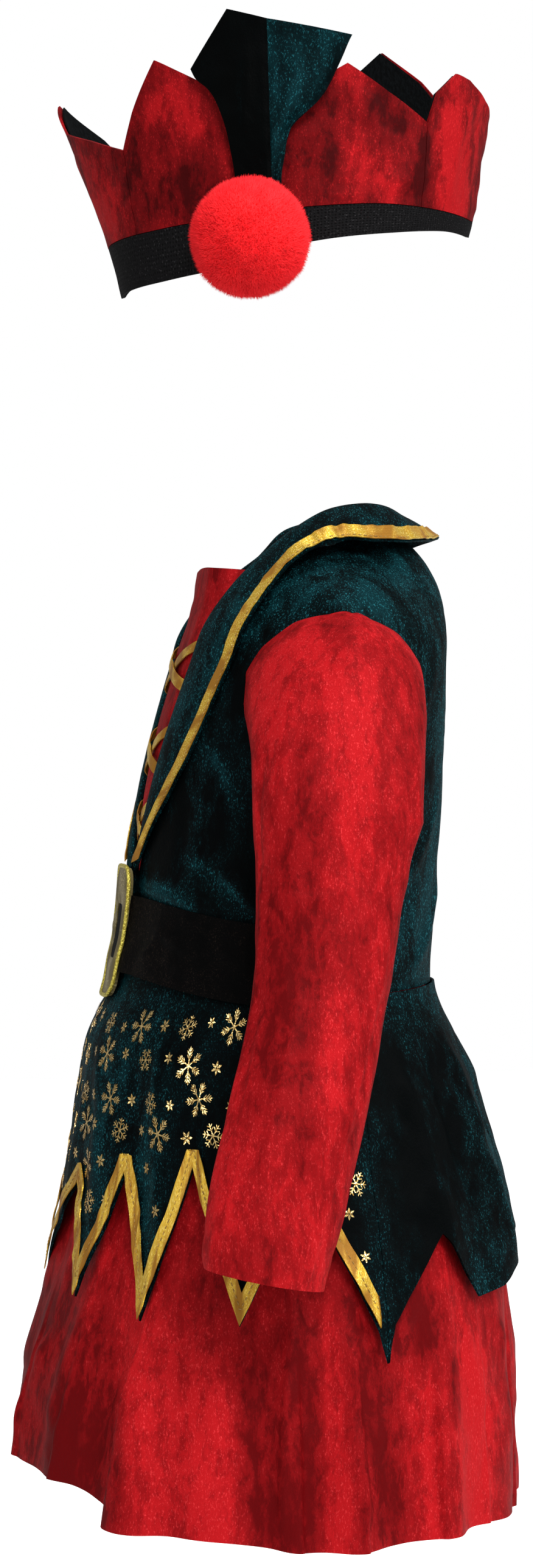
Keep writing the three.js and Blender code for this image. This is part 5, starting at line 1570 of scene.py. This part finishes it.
# Rows are round the crown (turn times CROWN_MM) and the height, in millimetres.
CROWN_MM = 1.42
CROWN_PULLS = [
    (-150, 4, -128, 46, 5, 1.1, 3), (-112, 6, -122, 50, 5, -1.0, 2), (60, 6, 74, 44, 5, 1.0, 2),
    (96, 4, 108, 50, 5, 1.2, -3), (150, 6, 138, 40, 5, -0.9, 2), (196, 4, 214, 60, 5, 1.2, 2),
    (-200, 6, -214, 50, 5, 1.1, 2), (-236, 6, -228, 44, 5, -0.9, 2),
]


def band_relief(turn, v):
    return 0.3 * swell(turn * 1.4 + 300, v * 20, 12, 71) * ease(180 - np.abs(turn), 0, 8)


def crown_relief(turn, v):
    s = turn * CROWN_MM
    z = v * 60
    crush = 0.6 * swell(s + 300, z, 17, 72) + 0.3 * swell(s + 100, z, 7, 73)
    return (crush + strokes(CROWN_PULLS, s, z)) * ease(v, 0, 0.12) * ease(180 - np.abs(turn), 0, 5)


def lining_place(turn, v):
    return crown_place(turn, mix(-0.05, 1, v), inset=VELVET + 0.6, lowered=0.6)


sew("hat_band_knit", "hat_band", band_place, ring(300, 360.0) - 180, between(0, 1, 20), 1.3,
    "black_knit", knit, "stretched", ["crown_front_left_cloth"], band_relief, period=360)
# Painted light and shade on the crown: painted shade beside the front petal and on the left panel, painted
# highlights on its ridges.
CROWN_PAINTED_LIGHT = [
    (-4, 196, 0, 150, 7, -1.5, 0), (-60, 162, -48, 138, 12, -1.1, 0), (-92, 160, -90, 128, 7, 1.2, 0),
    (-74, 192, -50, 172, 8, 1.1, 0), (6, 168, 36, 146, 9, 1.0, 0), (60, 190, 66, 135, 6, 1.3, 0),
    (45, 176, 46, 136, 4, -1.2, 0), (20, 190, 34, 172, 7, -0.8, 0),
]
for side, first, last in PANELS:
    panel = sew(f"crown_{side}_cloth", f"crown_{side}", crown_place, panel_columns(first, last),
                between(0, 1, 46), 1.1, "red_velvet", crown_velvet, "hung", ["hat_band_knit"], crown_relief,
                zigzag=True)
    paint_light_and_shade(panel, CROWN_PAINTED_LIGHT)
round_hat = np.concatenate([panel_columns(first, last)[:-1] for _, first, last in PANELS])
sew("crown_lining_cloth", "crown_lining", lining_place, round_hat, between(0, 1, 24), 0.7, "black_lining",
    lining_cloth, "hung", ["crown_front_left_cloth"], period=360, zigzag=True)

# %% [markdown]
# The front petal is a kite of two panels with a seam up its middle. Its list gives, for each
# step up the seam, where the left and the right edge lie, across from the hat's middle. The
# left half is a copy of the velvet with painted shade and looks nearly black; the right half
# is a lighter copy with painted light. The right half is creased at its edge, with a painted
# shade along it.

# %% Front petal
PETAL_SEAM_X = 8.5
PETAL_FOOT_Z = 141
PETAL_FORWARD = 84.8
PETAL_EDGE = table("v seamZ leftX leftZ rightX rightZ", [
    [0, 141, -7, 141, 13, 141], [0.14, 151, -7.5, 152, 12.6, 151], [0.28, 161, -9, 162, 14.7, 162],
    [0.42, 172, -11, 173, 17.5, 172], [0.58, 184, -15, 184, 30, 183.5], [0.72, 195, -18.5, 190, 34, 190],
    [0.86, 206, -24.5, 195.5, 39.5, 201], [1, 217.7, -26.5, 199.4, 44.5, 210.4],
])
PETAL = {name: smooth(PETAL_EDGE, name) for name in PETAL_EDGE if name != "v"}
PETAL_PEAK_Z = 222.7


def petal_space(x, z):
    """Points across and up from the body axis, on the petal's curved face."""
    forward = PETAL_FORWARD + (z - PETAL_FOOT_Z) * 0.15 - 0.004 * (x - PETAL_SEAM_X) ** 2
    c, s = math.cos(HAT_FRONT * RAD), math.sin(HAT_FRONT * RAD)
    return points(forward * s + x * c, -forward * c + x * s, z)


def petal_left(u, v):
    share = -u
    x = mix(PETAL_SEAM_X + 0.02, PETAL["leftX"](v), share)
    low = mix(PETAL["seamZ"](v), PETAL["leftZ"](v), share)
    arch = np.where(share < 0.5, mix(PETAL["seamZ"](1), PETAL_PEAK_Z, share * 2),
                    mix(PETAL_PEAK_Z, PETAL["leftZ"](1), share * 2 - 1))
    straight_top = mix(PETAL["seamZ"](1), PETAL["leftZ"](1), share)
    return petal_space(x, low + (arch - straight_top) * v ** 6)


def petal_right(u, v):
    x = mix(PETAL_SEAM_X - 0.02, PETAL["rightX"](v), u)
    return petal_space(x, mix(PETAL["seamZ"](v), PETAL["rightZ"](v), u))


def petal_relief(u, v):
    crush = 0.35 * swell(u * 30 + 60, v * 80, 10, 81) + 0.2 * swell(u * 30 + 60, v * 80, 5, 82)
    creases = strokes([(-20, 30, -8, 72, 3.5, 0.9, 2), (19, 28, 26, 78, 2.6, -1.2, 2),
                       (27, 26, 31, 76, 2.2, 0.9, 1), (8, 20, 16, 60, 4, 0.7, -2)], u * 30, v * 80)
    seam = -0.7 * np.exp(-((u / 0.06) ** 2))
    return (crush + creases) * ease(v, 0, 0.1) + seam


petal_rows = between(0, 1, 64)
sew("front_petal_left_cloth", "front_petal_left", petal_left, between(-1, 0, 41), petal_rows, 1.3,
    "green_velvet", petal_shade, "hung", ["hat_band_knit"], petal_relief)
# The right half gets a painted shade along its creased edge.
paint_light_and_shade(sew("front_petal_right_cloth", "front_petal_right", petal_right, between(0, 1, 41), petal_rows, 1.3,
         "green_velvet", petal_lit, "hung", ["hat_band_knit"], petal_relief),
     [(11, 210, -8, 170, 5.5, -1.7, 0)])
print("petal halves, m:", [round(FLAT[f"front_petal_{side}_cloth"][0], 3) for side in ("left", "right")])

# %% [markdown]
# The pompom is thousands of short yarn ends, trimmed to a ball. Geometry Nodes set them on a
# small core, pointing outwards. Where the ball rests against the hat its ends are pressed
# flat, so they are bent back to stay clear of the band.

# %% Pompom
POMPOM_CENTRE = np.array(hat_point(1, 124.4, 98.0))
CORE_RADIUS = 23.2
BAND_TOP_HERE = 131
CLEAR_OF_PETAL = 87.5
CLEAR_OF_BAND = 82

yarn, tree, shader = material("red yarn")
yarn_place = node(tree, "ShaderNodeTexCoord").outputs["Object"]
tuft = spread(tree, noise(tree, yarn_place, 130.0, 3.0), 0.36, 0.66)
tree.links.new(blend(tree, tuft, (0.84, 0.022, 0.028), (0.92, 0.03, 0.036)), shader.inputs["Base Color"])
shader.inputs["Roughness"].default_value = 0.9
shader.inputs["Specular IOR Level"].default_value = 0.02

tree, given, result = new_tree("pompom yarn", [("Length", "Float", 0.0036), ("Radius", "Float", 0.0002),
                                               ("Density", "Float", 4200000.0)])
links = tree.links
spots = tree.nodes.new("GeometryNodeDistributePointsOnFaces")
spots.inputs["Seed"].default_value = 5
links.new(given.outputs["Geometry"], spots.inputs[0])
links.new(given.outputs["Density"], spots.inputs["Density"])
end = node(tree, "GeometryNodeMeshCone", Vertices=3, fill_type="NONE")
links.new(given.outputs["Radius"], end.inputs["Radius Bottom"])
links.new(given.outputs["Length"], end.inputs["Depth"])
lean = node(tree, "FunctionNodeRandomValue", data_type="FLOAT_VECTOR")
lean.inputs["Min"].default_value = (-0.7, -0.7, -1.5)
lean.inputs["Max"].default_value = (0.7, 0.7, 1.5)
lean.inputs["Seed"].default_value = 9
stretch = node(tree, "FunctionNodeRandomValue", data_type="FLOAT")
stretch.inputs[2].default_value = 0.7
stretch.inputs[3].default_value = 1.05
stretch.inputs["Seed"].default_value = 11
plant = tree.nodes.new("GeometryNodeInstanceOnPoints")
sway = node(tree, "FunctionNodeRotateRotation", rotation_space="LOCAL")
links.new(spots.outputs["Rotation"], sway.inputs["Rotation"])
to_rotation = tree.nodes.new("FunctionNodeEulerToRotation")
links.new(lean.outputs[0], to_rotation.inputs[0])
links.new(to_rotation.outputs[0], sway.inputs["Rotate By"])
links.new(spots.outputs[0], plant.inputs["Points"])
links.new(end.outputs[0], plant.inputs["Instance"])
links.new(sway.outputs[0], plant.inputs["Rotation"])
links.new(stretch.outputs[1], plant.inputs["Scale"])
core_too = tree.nodes.new("GeometryNodeJoinGeometry")
links.new(plant.outputs[0], core_too.inputs[0])
links.new(given.outputs["Geometry"], core_too.inputs[0])
end_tree(tree, core_too.outputs[0], yarn, result)

ball = bmesh.new()
bmesh.ops.create_icosphere(ball, subdivisions=5, radius=CORE_RADIUS * MM)
for vertex in ball.verts:
    out = vertex.co.normalized()
    clump = 0.5 * swell(math.atan2(out.y, out.x) * 20, out.z * 24, 6, 91)
    clump += 0.25 * swell(out.x * 30, out.z * 30, 3, 92)
    vertex.co += out * float(clump) * MM + Vector(POMPOM_CENTRE * MM)
core = bpy.data.meshes.new("pompom_core")
ball.to_mesh(core)
ball.free()
core_object = bpy.data.objects.new("pompom_core", core)
bpy.context.scene.collection.objects.link(core_object)
pompom = grow(core_object, tree, "pompom_yarn", Length=0.0036, Radius=0.0002, Density=4200000.0)
place = np.zeros(len(pompom.data.vertices) * 3)
pompom.data.vertices.foreach_get("co", place)
place = place.reshape(-1, 3) / MM
across = np.hypot(place[:, 0], place[:, 1])
clear = np.where(place[:, 2] > BAND_TOP_HERE, CLEAR_OF_PETAL, CLEAR_OF_BAND)
push = np.maximum(clear + 0.15 * np.clip(across - clear + 10, 0, 10) - across, 0)
place[:, :2] *= ((across + push) / across)[:, None]
pompom.data.vertices.foreach_set("co", (place * MM).ravel())
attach(pompom, "root")
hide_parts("pompom")

# %% [markdown]
# The set stands on nothing: it keeps its worn shape in the air, as a garment on a hidden
# form. A pale floor lies below the hem. The world is white to the camera, but gives less
# than half of that as light, so the lamps still draw the folds.

# %% Floor and lights
FLOOR_HALF = 3
FLOOR_Z = -0.53
FLOOR_GLOW = (0.66, 0.66, 0.66)
WORLD_LIGHT = 0.38

floor_mesh = bpy.data.meshes.new("floor")
corners = [(x * FLOOR_HALF, y * FLOOR_HALF, FLOOR_Z) for x, y in ((-1, -1), (1, -1), (1, 1), (-1, 1))]
floor_mesh.from_pydata(corners, [], [(0, 1, 2, 3)])
floor = bpy.data.objects.new("floor", floor_mesh)
bpy.context.scene.collection.objects.link(floor)
floor_finish, tree, shader = material("pale floor")
shader.inputs["Base Color"].default_value = (0.9, 0.9, 0.9, 1)
shader.inputs["Roughness"].default_value = 0.9
seen = node(tree, "ShaderNodeLightPath").outputs["Is Camera Ray"]
tree.links.new(blend(tree, seen, (0, 0, 0), FLOOR_GLOW), shader.inputs["Emission Color"])
shader.inputs["Emission Strength"].default_value = 1.0
floor_mesh.materials.append(floor_finish)

# Name, degrees round and up, metres away, metres across, watts.
LIGHTS = (("key", 96, 36, 1.9, 0.7, 40), ("rim", 150, 24, 2.0, 0.8, 22), ("fill", 26, 20, 2.2, 0.9, 9),
          ("top", 80, 86, 1.7, 1.0, 14))
for name, azimuth, elevation, distance, size, power in LIGHTS:
    lamp = bpy.data.lights.new(name, "AREA")
    lamp.energy = power
    lamp.size = size
    holder = bpy.data.objects.new(name, lamp)
    bpy.context.scene.collection.objects.link(holder)
    a, e = math.radians(azimuth), math.radians(elevation)
    aim = Vector((math.sin(a) * math.cos(e), -math.cos(a) * math.cos(e), math.sin(e)))
    holder.location = CAMERA_AIM + aim * distance
    holder.rotation_mode = "QUATERNION"
    holder.rotation_quaternion = aim.to_track_quat("Z", "Y")

world = bpy.data.worlds.new("studio")
world.use_nodes = True
tree = world.node_tree
seen = tree.nodes.new("ShaderNodeLightPath").outputs["Is Camera Ray"]
tree.links.new(spread(tree, seen, 0, 1, WORLD_LIGHT, 1.0), tree.nodes["Background"].inputs["Strength"])
tree.nodes["Background"].inputs["Color"].default_value = (1, 1, 1, 1)
bpy.context.scene.world = world
bpy.context.scene.view_settings.view_transform = "Standard"
print("lights:", [name for name, *_ in LIGHTS])

# %% [markdown]
# Last, the size of each piece's flat cloth is printed.

# %% Sizes and finish
for name, (width, length, area) in FLAT.items():
    print(f"flat {name}: {width:.3f} x {length:.3f} m, {area:.4f} m2")
